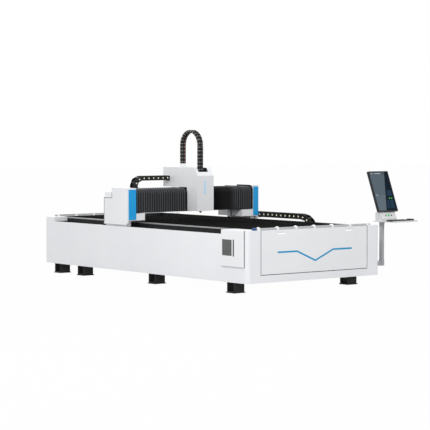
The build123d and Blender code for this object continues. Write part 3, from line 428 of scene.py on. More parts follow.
def solidFrom(name, corners, faces):
    mesh = bpy.data.meshes.new(name)
    mesh.from_pydata([tuple(corner) for corner in corners], [], faces)
    mesh.update()
    return mesh


def reworked(mesh, change):
    # applies a change to a mesh and turns its faces outwards
    work = bmesh.new()
    work.from_mesh(mesh)
    change(work)
    bmesh.ops.recalc_face_normals(work, faces=work.faces)
    work.to_mesh(mesh)
    work.free()
    return mesh


def outwards(mesh):
    return reworked(mesh, lambda work: bmesh.ops.remove_doubles(work, verts=work.verts, dist=weldGap))


def softened(mesh, width, steps=2):
    return reworked(mesh, lambda work: bmesh.ops.bevel(
        work, geom=work.edges[:], offset=width, segments=steps, profile=0.5, affect="EDGES"))


def prism(name, outline, depth):
    # a flat outline pushed along a depth vector
    count = len(outline)
    corners = [Vector(spot) for spot in outline] + [Vector(spot) + Vector(depth) for spot in outline]
    faces = [tuple(range(count)), tuple(range(2 * count - 1, count - 1, -1))]
    faces += [(i, i + count, (i + 1) % count + count, (i + 1) % count) for i in range(count)]
    return outwards(solidFrom(name, corners, faces))


def bar(name, start, end):
    x0, y0, z0 = start
    x1, y1, z1 = end
    return prism(name, [(x0, y0, z0), (x1, y0, z0), (x1, y1, z0), (x0, y1, z0)], (0, 0, z1 - z0))


def joined(name, meshes):
    work = bmesh.new()
    for mesh in meshes:
        work.from_mesh(mesh)
    whole = bpy.data.meshes.new(name)
    work.to_mesh(whole)
    work.free()
    for mesh in meshes:
        bpy.data.meshes.remove(mesh)
    return whole


def ring(centre, axis, radius, sides):
    away = Vector(axis).normalized()
    first = away.orthogonal().normalized()
    second = away.cross(first)
    angles = [2 * math.pi * i / sides for i in range(sides)]
    return [Vector(centre) + first * radius * math.cos(a) + second * radius * math.sin(a) for a in angles]


def disc(name, centre, axis, radius, height, sides):
    return prism(name, ring(centre, axis, radius, sides), Vector(axis).normalized() * height)


def addObject(name, data):
    holder = bpy.data.objects.new(name, data)
    scene.collection.objects.link(holder)
    return holder


def addPiece(name, mesh, finish, body=None):
    piece = addObject(name, mesh)
    if finish and mesh.materials:
        mesh.materials[0] = finishes[finish]
    elif finish:
        mesh.materials.append(finishes[finish])
    if body:
        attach(piece, body)
    return piece


def newTree(name, inputs):
    tree = bpy.data.node_groups.new(name, "GeometryNodeTree")
    for label, kind in inputs.items():
        tree.interface.new_socket(label, in_out="INPUT", socket_type="NodeSocket" + kind)
    tree.interface.new_socket("Geometry", in_out="OUTPUT", socket_type="NodeSocketGeometry")
    return tree, tree.nodes.new("NodeGroupInput").outputs, tree.nodes.new("NodeGroupOutput")


def closeTree(tree, geometry, given, outlet):
    whole = addNode(tree, "GeometryNodeRealizeInstances", {"Geometry": geometry}).outputs["Geometry"]
    paint = addNode(tree, "GeometryNodeSetMaterial", {"Geometry": whole, "Material": given["Finish"]})
    tree.links.new(paint.outputs["Geometry"], outlet.inputs["Geometry"])
    return tree


def shapeOf(tree, source):
    return addNode(tree, "GeometryNodeObjectInfo", {"Object": source}).outputs["Geometry"]


def seated(tree, geometry, position):
    values = {"Geometry": geometry, "Position": position}
    return addNode(tree, "GeometryNodeSetPosition", values).outputs["Geometry"]


def placePart(tree, given, points, turn):
    values = {"Points": points, "Instance": shapeOf(tree, given["Part"]), "Rotation": turn}
    return addNode(tree, "GeometryNodeInstanceOnPoints", values).outputs["Instances"]


def buildRowTree():
    # one part repeated along a straight row
    tree, given, outlet = newTree("partRow", {
        "Part": "Object", "Count": "Int", "Start": "Vector", "Step": "Vector", "Turn": "Rotation",
        "Finish": "Material",
    })
    row = addNode(tree, "GeometryNodeMeshLine", {
        "Count": given["Count"], "Start Location": given["Start"], "Offset": given["Step"],
    })
    return closeTree(tree, placePart(tree, given, row.outputs["Mesh"], given["Turn"]), given, outlet)


def buildArcTree():
    # one part repeated round a bend in the XZ plane, then turned and put in place
    tree, given, outlet = newTree("partBend", {
        "Part": "Object", "Count": "Int", "Radius": "Float", "First": "Float", "Step": "Float",
        "Turn": "Rotation", "Place": "Vector", "Finish": "Material",
    })
    row = addNode(tree, "GeometryNodeMeshLine", {"Count": given["Count"]})
    index = addNode(tree, "GeometryNodeInputIndex").outputs["Index"]
    angle = addMath(tree, "ADD", addMath(tree, "MULTIPLY", index, given["Step"]), given["First"])
    reach = {}
    for axis, kind in (("X", "COSINE"), ("Z", "SINE")):
        reach[axis] = addMath(tree, "MULTIPLY", addMath(tree, kind, angle), given["Radius"])
    spot = addNode(tree, "ShaderNodeCombineXYZ", reach).outputs["Vector"]
    lean = addNode(tree, "ShaderNodeCombineXYZ", {"Y": addMath(tree, "SUBTRACT", math.pi / 2, angle)})
    turn = addNode(tree, "FunctionNodeEulerToRotation", {"Euler": lean.outputs["Vector"]}).outputs["Rotation"]
    parts = placePart(tree, given, seated(tree, row.outputs["Mesh"], spot), turn)
    move = addNode(tree, "GeometryNodeTransform", {
        "Geometry": parts, "Rotation": given["Turn"], "Translation": given["Place"],
    })
    return closeTree(tree, move.outputs["Geometry"], given, outlet)


def buildPleatTree():
    # a sheet that follows a profile curve and folds in and out along X
    tree, given, outlet = newTree("pleatedSheet", {
        "Profile": "Object", "Rims": "Int", "First": "Int", "Folds": "Int", "Sides": "Int", "Start": "Float",
        "Step": "Float", "Depth": "Float", "Finish": "Material",
    })
    sheet = addNode(tree, "GeometryNodeMeshGrid", {
        "Vertices X": given["Rims"], "Vertices Y": given["Sides"], "Size X": 1, "Size Y": 1,
    })
    here = addNode(tree, "GeometryNodeInputPosition").outputs["Position"]
    spot = addNode(tree, "ShaderNodeSeparateXYZ", {"Vector": here})
    across, around = [addMath(tree, "ADD", spot.outputs[axis], 0.5) for axis in ("X", "Y")]
    rim = addMath(tree, "MULTIPLY", across, addMath(tree, "SUBTRACT", given["Rims"], 1))
    fold = addMath(tree, "ADD", addMath(tree, "ROUND", rim), given["First"])
    foldShare = addMath(tree, "FLOORED_MODULO", fold, 2)
    outward = addMath(tree, "MULTIPLY", addMath(tree, "MULTIPLY", foldShare, given["Depth"]), -1)
    sample = addNode(tree, "GeometryNodeSampleCurve", {
        "Curves": shapeOf(tree, given["Profile"]), "Factor": around,
    }, mode="FACTOR", use_all_curves=True)
    lengthways = {0: (1, 0, 0), 1: sample.outputs["Tangent"]}
    side = addNode(tree, "ShaderNodeVectorMath", lengthways, operation="CROSS_PRODUCT")
    scaled = {0: side.outputs["Vector"], "Scale": outward}
    push = addNode(tree, "ShaderNodeVectorMath", scaled, operation="SCALE")
    run = addMath(tree, "ADD", addMath(tree, "MULTIPLY", fold, given["Step"]), given["Start"])
    total = addNode(tree, "ShaderNodeCombineXYZ", {"X": run}).outputs["Vector"]
    for extra in (sample.outputs["Position"], push.outputs["Vector"]):
        total = addNode(tree, "ShaderNodeVectorMath", {0: total, 1: extra}).outputs["Vector"]
    geometry = sheet.outputs["Mesh"]
    shares = {"foldShare": foldShare, "runShare": addMath(tree, "DIVIDE", fold, given["Folds"])}
    for label, share in shares.items():
        values = {"Geometry": geometry, "Name": label, "Value": share}
        geometry = addNode(tree, "GeometryNodeStoreNamedAttribute", values).outputs["Geometry"]
    return closeTree(tree, seated(tree, geometry, total), given, outlet)


tubeSides = 8


def buildTubeTree():
    # a round cable along a path curve
    tree, given, outlet = newTree("cableTube", {"Path": "Object", "Radius": "Float", "Finish": "Material"})
    around = addNode(tree, "GeometryNodeCurvePrimitiveCircle", {
        "Resolution": tubeSides, "Radius": given["Radius"],
    })
    tube = addNode(tree, "GeometryNodeCurveToMesh", {
        "Curve": shapeOf(tree, given["Path"]), "Profile Curve": around.outputs["Curve"], "Fill Caps": True,
    })
    return closeTree(tree, tube.outputs["Mesh"], given, outlet)


rowTree = buildRowTree()
arcTree = buildArcTree()
pleatTree = buildPleatTree()
tubeTree = buildTubeTree()


def frozen(piece):
    # the piece's mesh with its modifiers applied
    return bpy.data.meshes.new_from_object(piece.evaluated_get(bpy.context.evaluated_depsgraph_get()))


def grow(name, tree, values, finish):
    # runs a node tree once and keeps its result as a plain mesh
    holder = addObject(name, bpy.data.meshes.new(name + "Seed"))
    modifier = holder.modifiers.new("grow", "NODES")
    modifier.node_group = tree
    given = dict(values, Finish=finishes[finish])
    for item in tree.interface.items_tree:
        if item.in_out == "INPUT" and item.name in given:
            modifier[item.identifier] = given[item.name]
    mesh = frozen(holder)
    mesh.name = name
    bpy.data.objects.remove(holder)
    return mesh


def seedPath(name, spots):
    curve = bpy.data.curves.new(name, "CURVE")
    curve.dimensions = "3D"
    line = curve.splines.new("POLY")
    line.points.add(len(spots) - 1)
    for point, spot in zip(line.points, spots):
        point.co = (*spot, 1)
    return addObject(name, curve)


def growRow(name, mesh, finish, count, start, step, turn=(0, 0, 0)):
    part = addObject(name + "Part", mesh)
    row = grow(name, rowTree, {
        "Part": part, "Count": count, "Start": Vector(start), "Step": Vector(step), "Turn": Euler(turn),
    }, finish)
    bpy.data.objects.remove(part)
    return row


def blendRun(piece, bodies, near, far, nearWeight, farWeight):
    # bakes the piece's placement into its mesh
    near, far = Vector(near), Vector(far)
    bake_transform(piece)


print("node trees ready")


# cutting table
slatSet = {"pitch": 0.1, "toothPitch": 0.025, "toothHeight": 0.016, "tip": 0.007}


def toothedSlat():
    start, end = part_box("slats")
    values = slatSet
    teeth = int((end.x - start.x) / values["toothPitch"])
    pitch = (end.x - start.x) / teeth
    valley = end.z - values["toothHeight"]
    outline = [(start.x, 0, start.z), (end.x, 0, start.z)]
    for tooth in range(teeth):
        centre = end.x - (tooth + 0.5) * pitch
        outline += [(centre + pitch / 2, 0, valley), (centre + values["tip"] / 2, 0, end.z)]
        outline += [(centre - values["tip"] / 2, 0, end.z)]
    outline.append((start.x, 0, valley))
    return outline


def makeSlats():
    start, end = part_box("slats")
    count = round((end.y - start.y) / slatSet["pitch"]) + 1
    thickness = end.y - start.y - (count - 1) * slatSet["pitch"]
    one = prism("slatPart", toothedSlat(), (0, thickness, 0))
    rows = growRow("cutting_slats", one, "slatSteel", count, (0, start.y, 0), (0, slatSet["pitch"], 0))
    piece = addPiece("cutting_slats", rows, None, "bed")
    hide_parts("slats")
    print("slats", count)


makeSlats()

# racks and guide rails
rackSet = {
    "module": 0.003, "addendum": 1.0, "dedendum": 1.25, "flank": math.radians(20), "pitchRadius": 0.03,
    "height": 0.03,
}


def rackTooth(name, out, along, height):
    values = rackSet
    half = math.pi * values["module"] / 4
    root = values["dedendum"] * values["module"]
    tip = values["addendum"] * values["module"]
    wide = half + root * math.tan(values["flank"])
    narrow = half - tip * math.tan(values["flank"])
    foot, crest = along * wide, out * (root + tip)
    return prism(name, [-foot, foot, along * narrow + crest, -along * narrow + crest], (0, 0, height))


def addRack(name, body, out, along, face, run, pinion, bottom, height):
    # teeth stand half a pitch to either side of the pinion's middle tooth
    pitch = math.pi * rackSet["module"]
    first = pinion + (math.ceil((run[0] - pinion) / pitch) + 0.5) * pitch
    count = int((run[1] - first) / pitch)
    along = Vector(along)
    start = Vector(face) + along * first
    start.z = bottom
    tooth = rackTooth(name + "Part", Vector(out), along, height)
    addPiece(name, growRow(name, tooth, "guideSteel", count, start, along * pitch), None, body)


def makeRacks():
    values = rackSet
    start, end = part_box("bed_guides")
    reach = values["dedendum"] * values["module"] + values["pitchRadius"]
    rackFace = middle("left_pinion").x + reach
    for side, name in ((-1, "left"), (1, "right")):
        face = (bedX + side * (bedX - rackFace), 0, 0)
        addRack(name + "_rack_teeth", "bed", (side, 0, 0), (0, 1, 0), face, (start.y, end.y),
                middle(name + "_pinion").y, start.z, values["height"])
    beamStart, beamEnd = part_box("beam_guides")
    pinion = middle("carriage_pinion")
    bottom = high("beam").z
    addRack("beam_rack_teeth", "gantry", (0, -1, 0), (1, 0, 0), (0, pinion.y + reach, 0),
            (beamStart.x, beamEnd.x), pinion.x, bottom, beamEnd.z - bottom)


plugSet = {
    "pitch": 0.08, "radius": 0.0075, "height": 0.0006, "endGap": 0.04, "sides": 12, "railHalf": 0.015,
    "railTall": 0.028,
}


def makePlugs():
    # caps over the bolt holes of both bed rails
    values = plugSet
    start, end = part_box("bed_guides")
    railX = start.x + values["railHalf"]
    count = int((end.y - start.y - 2 * values["endGap"]) / values["pitch"]) + 1
    plugs = []
    for x in (railX, 2 * bedX - railX):
        cap = disc("plugPart", (0, 0, 0), (0, 0, 1), values["radius"], values["height"], values["sides"])
        first = (x, start.y + values["endGap"], start.z + values["railTall"])
        plugs.append(growRow("railPlugs", cap, "driveBlack", count, first, (0, values["pitch"], 0)))
    addPiece("rail_bolt_plugs", joined("rail_bolt_plugs", plugs), "driveBlack", "bed")


makeRacks()
makePlugs()
print("racks and rail plugs")

# bellows over the beam
bellowsSet = {
    "depth": 0.026, "corner": 0.07, "pitch": 0.04, "arcSteps": 8, "sheet": 0.002, "sides": 40,
    "spans": (0, 2, 8), "finish": {"left_bellows": "bellowsCloth", "right_bellows": "bellowsShade"},
}


def bellowsProfile(inset=0.0, topInset=0.0):
    start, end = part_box("left_bellows")
    radius = bellowsSet["corner"] - inset
    front, top = start.y + inset, end.z - topInset
    arc = [math.pi / 2 * i / bellowsSet["arcSteps"] for i in range(bellowsSet["arcSteps"] + 1)]
    spots = [(0, front, start.z)]
    spots += [(0, front + radius * (1 - math.cos(a)), top - radius * (1 - math.sin(a))) for a in arc]
    return spots + [(0, end.y, top)]


def makeBellows(name, outerX, innerX):
    folds = 2 * round(abs(innerX - outerX) / bellowsSet["pitch"])
    step = (innerX - outerX) / folds
    ends = bellowsSet["spans"]
    marks = list(ends) + [folds - mark for mark in reversed(ends)]
    profile = seedPath(name + "Profile", bellowsProfile())
    for number, (first, last) in enumerate(zip(marks, marks[1:])):
        label = "%s_cloth_%d" % (name, number + 1)
        mesh = grow(label, pleatTree, {
            "Profile": profile, "Rims": last - first + 1, "First": first, "Folds": folds, "Start": outerX,
            "Step": step, "Sides": bellowsSet["sides"], "Depth": bellowsSet["depth"],
        }, bellowsSet["finish"][name])
        piece = addPiece(label, mesh, None, None)
        wall = piece.modifiers.new("wall", "SOLIDIFY")
        wall.thickness = bellowsSet["sheet"]
        wall.offset = 0
        thick = frozen(piece)
        piece.modifiers.clear()
        piece.data = thick
        near = (outerX + step * first, 0, 0)
        far = (outerX + step * last, 0, 0)
        blendRun(piece, ("gantry", "carriage"), near, far, first / folds, last / folds)
        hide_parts(name)
    bpy.data.objects.remove(profile)


frameSet = {
    "width": 0.010, "frontLip": 0.003, "slide": 0.02, "reach": 1,
    # each row: bellows, share of its run and upper lip
    "frames": (
        ("left_bellows", 0.0, 0.012), ("left_bellows", 1.0, 0.003),
        ("right_bellows", 0.0, 0.018), ("right_bellows", 0.25, 0.009), ("right_bellows", 1.0, 0.003),
    ),
}


def makeFrame(number, name, share, lip):
    # a flat frame of fixed thickness at a share of the bellows run
    outerX, innerX = bellowsEnds[name]
    width = frameSet["width"]
    inward = math.copysign(width / 2, innerX - outerX)
    x = outerX + inward + (innerX - outerX - 2 * inward) * share
    inner = bellowsProfile(bellowsSet["depth"], bellowsSet["depth"])
    outline = bellowsProfile(-frameSet["frontLip"], -lip) + list(reversed(inner))
    label = "bellows_frame_%d" % number
    mesh = prism(label, [(x - width / 2, y, z) for _, y, z in outline], (width, 0, 0))
    ends = {0.0: "gantry", 1.0: "carriage"}
    piece = addPiece(label, mesh, "blackPaint", ends.get(share))
    if share not in ends:
        slide, reach = frameSet["slide"], frameSet["reach"]
        near, far = (x - reach, 0, 0), (x + reach, 0, 0)
        blendRun(piece, ("gantry", "carriage"), near, far, share - slide, share + slide)


bellowsEnds = {}
for name, side in (("left_bellows", -1), ("right_bellows", 1)):
    start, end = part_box(name)
    bellowsEnds[name] = (start.x, end.x) if side < 0 else (end.x, start.x)
    makeBellows(name, *bellowsEnds[name])
for number, values in enumerate(frameSet["frames"]):
    makeFrame(number + 1, *values)
print("bellows")


# cable chains
chainSet = {
    "long": {"pitch": 0.096, "bendLinks": 8, "bodies": ("bed", "gantry"), "turnBody": "long_chain_turn",
             "upper": (7, 3, 1), "lower": (4, 2, 1), "turn": math.pi / 2, "redCables": ()},
    "beam": {"pitch": 0.084, "bendLinks": 4, "bodies": ("gantry", "carriage"), "turnBody": "beam_chain_turn",
             "upper": (4, 1, 1), "lower": (4, 1, 1), "turn": 0.0, "redCables": (0,)},
}
linkSet = {
    "wall": 0.009, "gap": 0.0008, "edge": 0.002, "barShare": 0.3, "barHeight": 0.006, "barEdge": 0.0015,
    "knuckleShare": 0.485, "knuckleDepth": 0.85, "knuckleSides": 24, "pivotShare": 0.26, "pivotSides": 18,
    "pivotProud": 0.0008, "dotShare": 0.165, "dotProud": 0.0012, "dotSides": 14, "linkGap": 0.0002,
    "cableRadius": 0.008, "cableSides": 10, "cableShares": (-0.25, 0.0, 0.25), "cableDrop": 0.12,
    "cableStep": 0.06, "bendSteps": 24,
}


def marked(mesh, number):
    for face in mesh.polygons:
        face.material_index = number
    return mesh


def linkPart(name, width, height, pitch, innerLength, cabled):
    values = linkSet
    wall = values["wall"]
    half = pitch / 2 - values["gap"]
    inner = innerLength / 2 - values["gap"]
    rim = [(-inner, -height / 2), (inner, -height / 2), (half, height / 2), (-half, height / 2)]
    eye, boss = height * values["knuckleShare"], height * values["pivotShare"]
    barHalf, gap = pitch * values["barShare"] / 2, width / 2 - wall
    meshes = []
    for side in (-1, 1):
        out, outer, top = (0, side, 0), side * width / 2, side * height / 2
        plate = prism(name, [(x, outer - side * wall, z) for x, z in rim], (0, side * wall, 0))
        meshes.append(softened(plate, values["edge"]))
        knuckle = (pitch / 2, outer - side * wall, 0)
        meshes.append(disc(name, knuckle, out, eye, wall * values["knuckleDepth"], values["knuckleSides"]))
        pivot = (half - boss, outer, 0)
        meshes.append(disc(name, pivot, out, boss, values["pivotProud"], values["pivotSides"]))
        strut = bar(name, (-barHalf, -gap, top - side * values["barHeight"]), (barHalf, gap, top))
        meshes.append(softened(strut, values["barEdge"]))
    for share in values["cableShares"] if cabled else ():
        spot = (-pitch / 2, share * width, -height * values["cableDrop"])
        meshes.append(disc(name, spot, (1, 0, 0), values["cableRadius"], pitch, values["cableSides"]))
    return joined(name, meshes)


def dotPart(name, width, height):
    radius, proud, sides = height * linkSet["dotShare"], linkSet["dotProud"], linkSet["dotSides"]
    spots = [((0, side * width / 2, 0), (0, side, 0)) for side in (-1, 1)]
    return joined(name, [disc(name, spot, out, radius, proud, sides) for spot, out in spots])


def chainPlace(kind):
    # bend centre, radius and link size of a chain that lies between two straight runs
    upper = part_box(kind + "_chain_upper")
    height = upper[1].z - upper[0].z
    centre = middle(kind + "_chain_upper")
    radius = (centre.z - middle(kind + "_chain_lower").z) / 2
    centre.z -= radius
    along = 0 if kind == "beam" else 1
    centre[along] = upper[0][along] - linkSet["linkGap"]
    width = upper[1][1 - along] - upper[0][1 - along]
    return centre, radius, width, height, along


def chainRun(kind, level):
    values = chainSet[kind]
    centre, radius, width, height, along = chainPlace(kind)
    pitch, turn = values["pitch"], (0, 0, values["turn"])
    counts = values[level]
    step = Vector((0, 0, 0))
    step[along] = pitch
    base = centre + Vector((0, 0, radius if level == "upper" else -radius))
    done = 0
    farWeight = 1.0 if level == "upper" else 0.0
    for number, count in enumerate(counts):
        name = "%s_chain_%s_%d" % (kind, level, number + 1)
        start = base + step * (done + 0.5)
        link = linkPart(name, width, height, pitch, pitch, True)
        links = growRow(name, link, "chainBlack", count, start, step, turn)
        dots = growRow(name, dotPart(name, width, height), "chainPlug", count, start, step, turn)
        mesh = joined(name, [marked(links, 0), marked(dots, 1)])
        piece = addPiece(name, mesh, "chainBlack", None)
        mesh.materials.append(finishes["chainPlug"])
        weights = [0.5 + (farWeight - 0.5) * passed / sum(counts) for passed in (done, done + count)]
        blendRun(piece, values["bodies"], base + step * done, base + step * (done + count), *weights)
        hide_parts("%s_chain_%s" % (kind, level))
        done += count


def bendPath(centre, radius, along, sideways):
    spots = []
    for i in range(linkSet["bendSteps"] + 1):
        angle = math.pi / 2 + math.pi * i / linkSet["bendSteps"]
        spot = Vector(centre)
        spot[along] += radius * math.cos(angle)
        spot[1 - along] += sideways
        spot.z += radius * math.sin(angle)
        spots.append(spot)
    return spots


def tubeMesh(name, spots, radius, finish):
    path = seedPath(name + "Path", spots)
    mesh = grow(name, tubeTree, {"Path": path, "Radius": radius}, finish)
    bpy.data.objects.remove(path)
    return outwards(mesh)


def growBend(name, part, finish, count, radius, turn, place):
    seed = addObject(name + "Part", part)
    step = math.pi / count
    mesh = grow(name, arcTree, {
        "Part": seed, "Count": count, "Radius": radius, "First": math.pi / 2 + step / 2, "Step": step,
        "Turn": Euler(turn), "Place": Vector(place),
    }, finish)
    bpy.data.objects.remove(seed)
    return mesh


def bendMeshes(name, width, height, pitch, count, radius, turn, place):
    step = math.pi / count
    chord = radius * math.cos(step / 2)
    inner = 2 * (chord - height / 2) * math.tan(step / 2)
    part = linkPart(name, width, height, pitch, inner, False)
    links = growBend(name, part, "chainBlack", count, chord, turn, place)
    dots = growBend(name, dotPart(name, width, height), "chainPlug", count, chord, turn, place)
    return [marked(links, 0), marked(dots, 1)]


def chainBend(kind):
    values = chainSet[kind]
    centre, radius, width, height, along = chainPlace(kind)
    name = kind + "_chain_turn_links"
    turn = (0, 0, values["turn"])
    meshes = bendMeshes(name, width, height, values["pitch"], values["bendLinks"], radius, turn, centre)
    for number, share in enumerate(linkSet["cableShares"]):
        bend = radius - height * linkSet["cableDrop"] + height * linkSet["cableStep"] * number
        spots = bendPath(centre, bend, along, share * width)
        tube = tubeMesh(name, spots, linkSet["cableRadius"], "cableRed")
        meshes.append(marked(tube, 2 if number in values["redCables"] else 0))
    mesh = joined(name, meshes)
    piece = addPiece(name, mesh, "chainBlack", values["turnBody"])
    mesh.materials.append(finishes["chainPlug"])
    mesh.materials.append(finishes["cableRed"])
    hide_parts(kind + "_chain_bend")


for kind in chainSet:
    chainRun(kind, "upper")
    chainRun(kind, "lower")
    chainBend(kind)
print("long chain and beam chain")

headChainSet = {
    "pitch": 0.0525, "height": 0.036, "bendLinks": 12, "rearLinks": 5, "frontLinks": 8, "speckWide": 0.016,
    "speckTall": 0.012, "speckShare": 0.27, "speckProud": 0.0008, "speckSink": 0.001, "steps": 24,
    "finishes": ("chainBlack", "chainPlug", "cableRed", "glintGrey", "cableDark"),
    # each row: share of the width, inset from the middle of the links, radius and finish
    "cables": (
        (-0.2, 0, 0.009, "cableDark"), (0.04, 0, 0.009, "cableDark"), (0.26, -0.003, 0.008, "cableDark"),
        (0.24, 0.0075, 0.004, "cableRed"),
    ),
}


def speckPart(name, width, height):
    # pale marks on both faces of a link's crossbars, painted highlights
    values = headChainSet
    half, tall = values["speckWide"] / 2, values["speckTall"] / 2
    meshes = []
    for face in (-1, 1):
        for side in (-1, 1):
            y = side * values["speckShare"] * width
            z = face * height / 2
            bottom, top = sorted((z - face * values["speckSink"], z + face * values["speckProud"]))
            meshes.append(bar(name, (-tall, y - half, bottom), (tall, y + half, top)))
    return joined(name, meshes)


def makeHeadChain():
    values = headChainSet
    start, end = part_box("head_chain")
    centre = middle("head_chain")
    pitch, height = values["pitch"], values["height"]
    radius = (end.y - start.y - height) / 2
    centre.z = start.z + values["frontLinks"] * pitch
    width = end.x - start.x
    name = "head_chain_links"
    kinds = values["finishes"]
    turn = (0, math.pi / 2, math.pi / 2)
    links = values["bendLinks"]
    meshes = bendMeshes(name, width, height, pitch, links, radius, turn, centre)
    chord = radius * math.cos(math.pi / links / 2)
    specks = growBend(name, speckPart(name, width, height), "glintGrey", links, chord, turn, centre)
    meshes.append(marked(specks, kinds.index("glintGrey")))
    for side, count in ((1, values["rearLinks"]), (-1, values["frontLinks"])):
        first = centre + Vector((0, side * radius, -pitch / 2))
        for part, finish in (
            (linkPart(name, width, height, pitch, pitch, False), "chainBlack"),
            (dotPart(name, width, height), "chainPlug"),
            (speckPart(name, width, height), "glintGrey"),
        ):
            row = growRow(name, part, finish, count, first, (0, 0, -pitch), turn)
            meshes.append(marked(row, kinds.index(finish)))
    for share, inset, thick, finish in values["cables"]:
        x, bend = share * width, radius - inset
        spots = [centre + Vector((x, bend, -values["rearLinks"] * pitch))]
        for i in range(values["steps"] + 1):
            angle = math.pi * i / values["steps"]
            spots.append(centre + Vector((x, bend * math.cos(angle), bend * math.sin(angle))))
        spots.append(centre + Vector((x, -bend, -values["frontLinks"] * pitch)))
        meshes.append(marked(tubeMesh(name, spots, thick, finish), kinds.index(finish)))
    mesh = joined(name, meshes)
    piece = addPiece(name, mesh, kinds[0], None)
    for extra in kinds[1:]:
        mesh.materials.append(finishes[extra])
    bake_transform(piece)
    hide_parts("head_chain")


makeHeadChain()
print("head chain")


# coloured marks, painted shadow lines, leg lines and grips on the covers
def ribbon(name, spots, width, proud, outward=(0, -1, 0)):
    # a flat band with mitred corners that stands a little in front of its panel
    spots = [Vector(spot) for spot in spots]
    outward = Vector(outward)
    left, right = [], []
    for i, spot in enumerate(spots):
        before = (spot - spots[i - 1]).normalized() if i else None
        after = (spots[i + 1] - spot).normalized() if i + 1 < len(spots) else None
        ways = [way for way in (before, after) if way]
        normals = [outward.cross(way) for way in ways]
        mitre = sum(normals, Vector()).normalized()
        reach = width / 2 / mitre.dot(normals[0])
        left.append(spot + mitre * reach)
        right.append(spot - mitre * reach)
    count, last = len(spots), len(spots) - 1
    corners = [corner + outward * proud for corner in left + right]
    back = [corner - outward * proud for corner in corners]
    total = len(corners)
    faces = [(0, count, total + count, total), (last, total + last, total + count + last, count + last)]
    for i in range(last):
        j = i + 1
        quad = (i, j, count + j, count + i)
        faces += [quad, tuple(total + k for k in reversed(quad))]
        faces += [(i, total + i, total + j, j), (count + i, count + j, total + count + j, total + count + i)]
    return outwards(solidFrom(name, corners + back, faces))


stripeSet = {"width": 0.023, "proud": 0.0005, "level": 0.526, "dip": 0.392, "reach": 0.653, "bend": 0.317}


def makeStripe():
    values = stripeSet
    y = low("drawer_front").y
    side = [(values["reach"], values["level"]), (values["bend"], values["level"])]
    spots = [(bedX - x, y, z) for x, z in side] + [(bedX, y, values["dip"])]
    spots += [(bedX + x, y, z) for x, z in reversed(side)]
    mesh = ribbon("front_stripe", spots, values["width"], values["proud"])
    addPiece("front_stripe", mesh, "stripeBlue", "scrap_drawer")


headStripSet = {"width": 0.012, "bottom": 1.19, "top": 1.384, "shift": 0.010, "proud": 0.0006}


def makeHeadStrip():
    values = headStripSet
    x = middle("cutting_head").x + values["shift"]
    y = low("head_cover").y
    spots = [(x, y, values["bottom"]), (x, y, values["top"])]
    mesh = ribbon("head_light_strip", spots, values["width"], values["proud"])
    addPiece("head_light_strip", mesh, "stripLight", "carriage")


latchSet = {"gap": 0.028, "width": 0.014, "flange": 0.004, "proud": 0.0012, "depth": 0.0094, "edge": 0.0008}


def makeLatch():
    # a black pull that fills the slot beside the pane and laps over its edges
    start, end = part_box("access_window")
    values = latchSet
    face = low("access_cover").x
    rear = start.y - values["gap"]
    front = rear - values["width"]
    plates = []
    for near, far, lap in ((-values["proud"], 0, values["flange"]), (0, values["depth"], -values["edge"])):
        first = (face + near, front - lap, start.z - lap)
        plates.append(bar("latch", first, (face + far, rear + lap, end.z + lap)))
    addPiece("access_latch", joined("access_latch", plates), "slotBlack", "bed")


darkLineSet = {
    "proud": 0.0004, "drawer": 0.006, "cover": 0.008, "coverFoot": 0.02, "lid": 0.010, "leg": 0.026,
    "legY": 0.486, "legTall": 0.097, "notch": 0.189, "notchFloor": 1.156, "notchTop": 1.228,
}


def addDarkLine(name, spots, width, body, outward=(0, -1, 0)):
    mesh = ribbon(name, spots, width, darkLineSet["proud"], outward)
    addPiece(name, mesh, "darkLineBlack", body)


def makeDarkLines():
    values = darkLineSet
    # a painted shadow line round the drawer front's gap
    start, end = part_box("drawer_front")
    half = values["drawer"] / 2
    left, right, bottom = start.x + half, end.x - half, start.z + half
    corners = ((left, end.z), (left, bottom), (right, bottom), (right, end.z))
    spots = [(x, start.y, z) for x, z in corners]
    addDarkLine("drawer_gasket", spots, values["drawer"], "scrap_drawer")
    # painted shadow lines along each end cover's rear edge and notch
    half = values["cover"] / 2
    sides = ((-1, "left"), (1, "right"))
    for side, name in sides:
        start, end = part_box(name + "_end_cover")
        x = bedX + side * (bedX - low("left_end_cover").x)
        rear, step, floor = end.y - half, end.y - values["notch"] - half, values["notchFloor"] - half
        foot, top = start.z + values["coverFoot"], values["notchTop"]
        spots = [(x, rear, foot), (x, rear, floor), (x, step, floor), (x, step, top)]
        addDarkLine(name + "_cover_edging", spots, values["cover"], "gantry", (side, 0, 0))
    # a painted shadow line at the access cover's front edge
    start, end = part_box("access_cover")
    x = end.x - values["lid"] / 2
    addDarkLine("access_gasket", [(x, start.y, z) for z in (start.z, end.z)], values["lid"], "bed")
    # a dark line down each leg's inner face
    inner = min(abs(corner.co.x - bedX) for corner in nodes["gantry_legs"].data.vertices)
    top = high("gantry_legs").z
    for side, name in sides:
        spots = [(bedX + side * inner, values["legY"], z) for z in (top - values["legTall"], top)]
        addDarkLine(name + "_leg_seam", spots, values["leg"], "gantry", (-side, 0, 0))


gripSet = {
    "spacing": 1.18, "level": 0.773, "width": 0.130, "height": 0.032, "shallow": 0.003, "deep": 0.012,
    "wall": 0.0012, "clear": 0.0002, "sides": 8,
}


def slotRing(width, height, sides):
    reach = (width - height) / 2
    spots = []
    for centre, first in ((reach, -math.pi / 2), (-reach, math.pi / 2)):
        turns = [first + math.pi * i / sides for i in range(sides + 1)]
        spots += [(centre + height / 2 * math.cos(turn), height / 2 * math.sin(turn)) for turn in turns]
    return spots


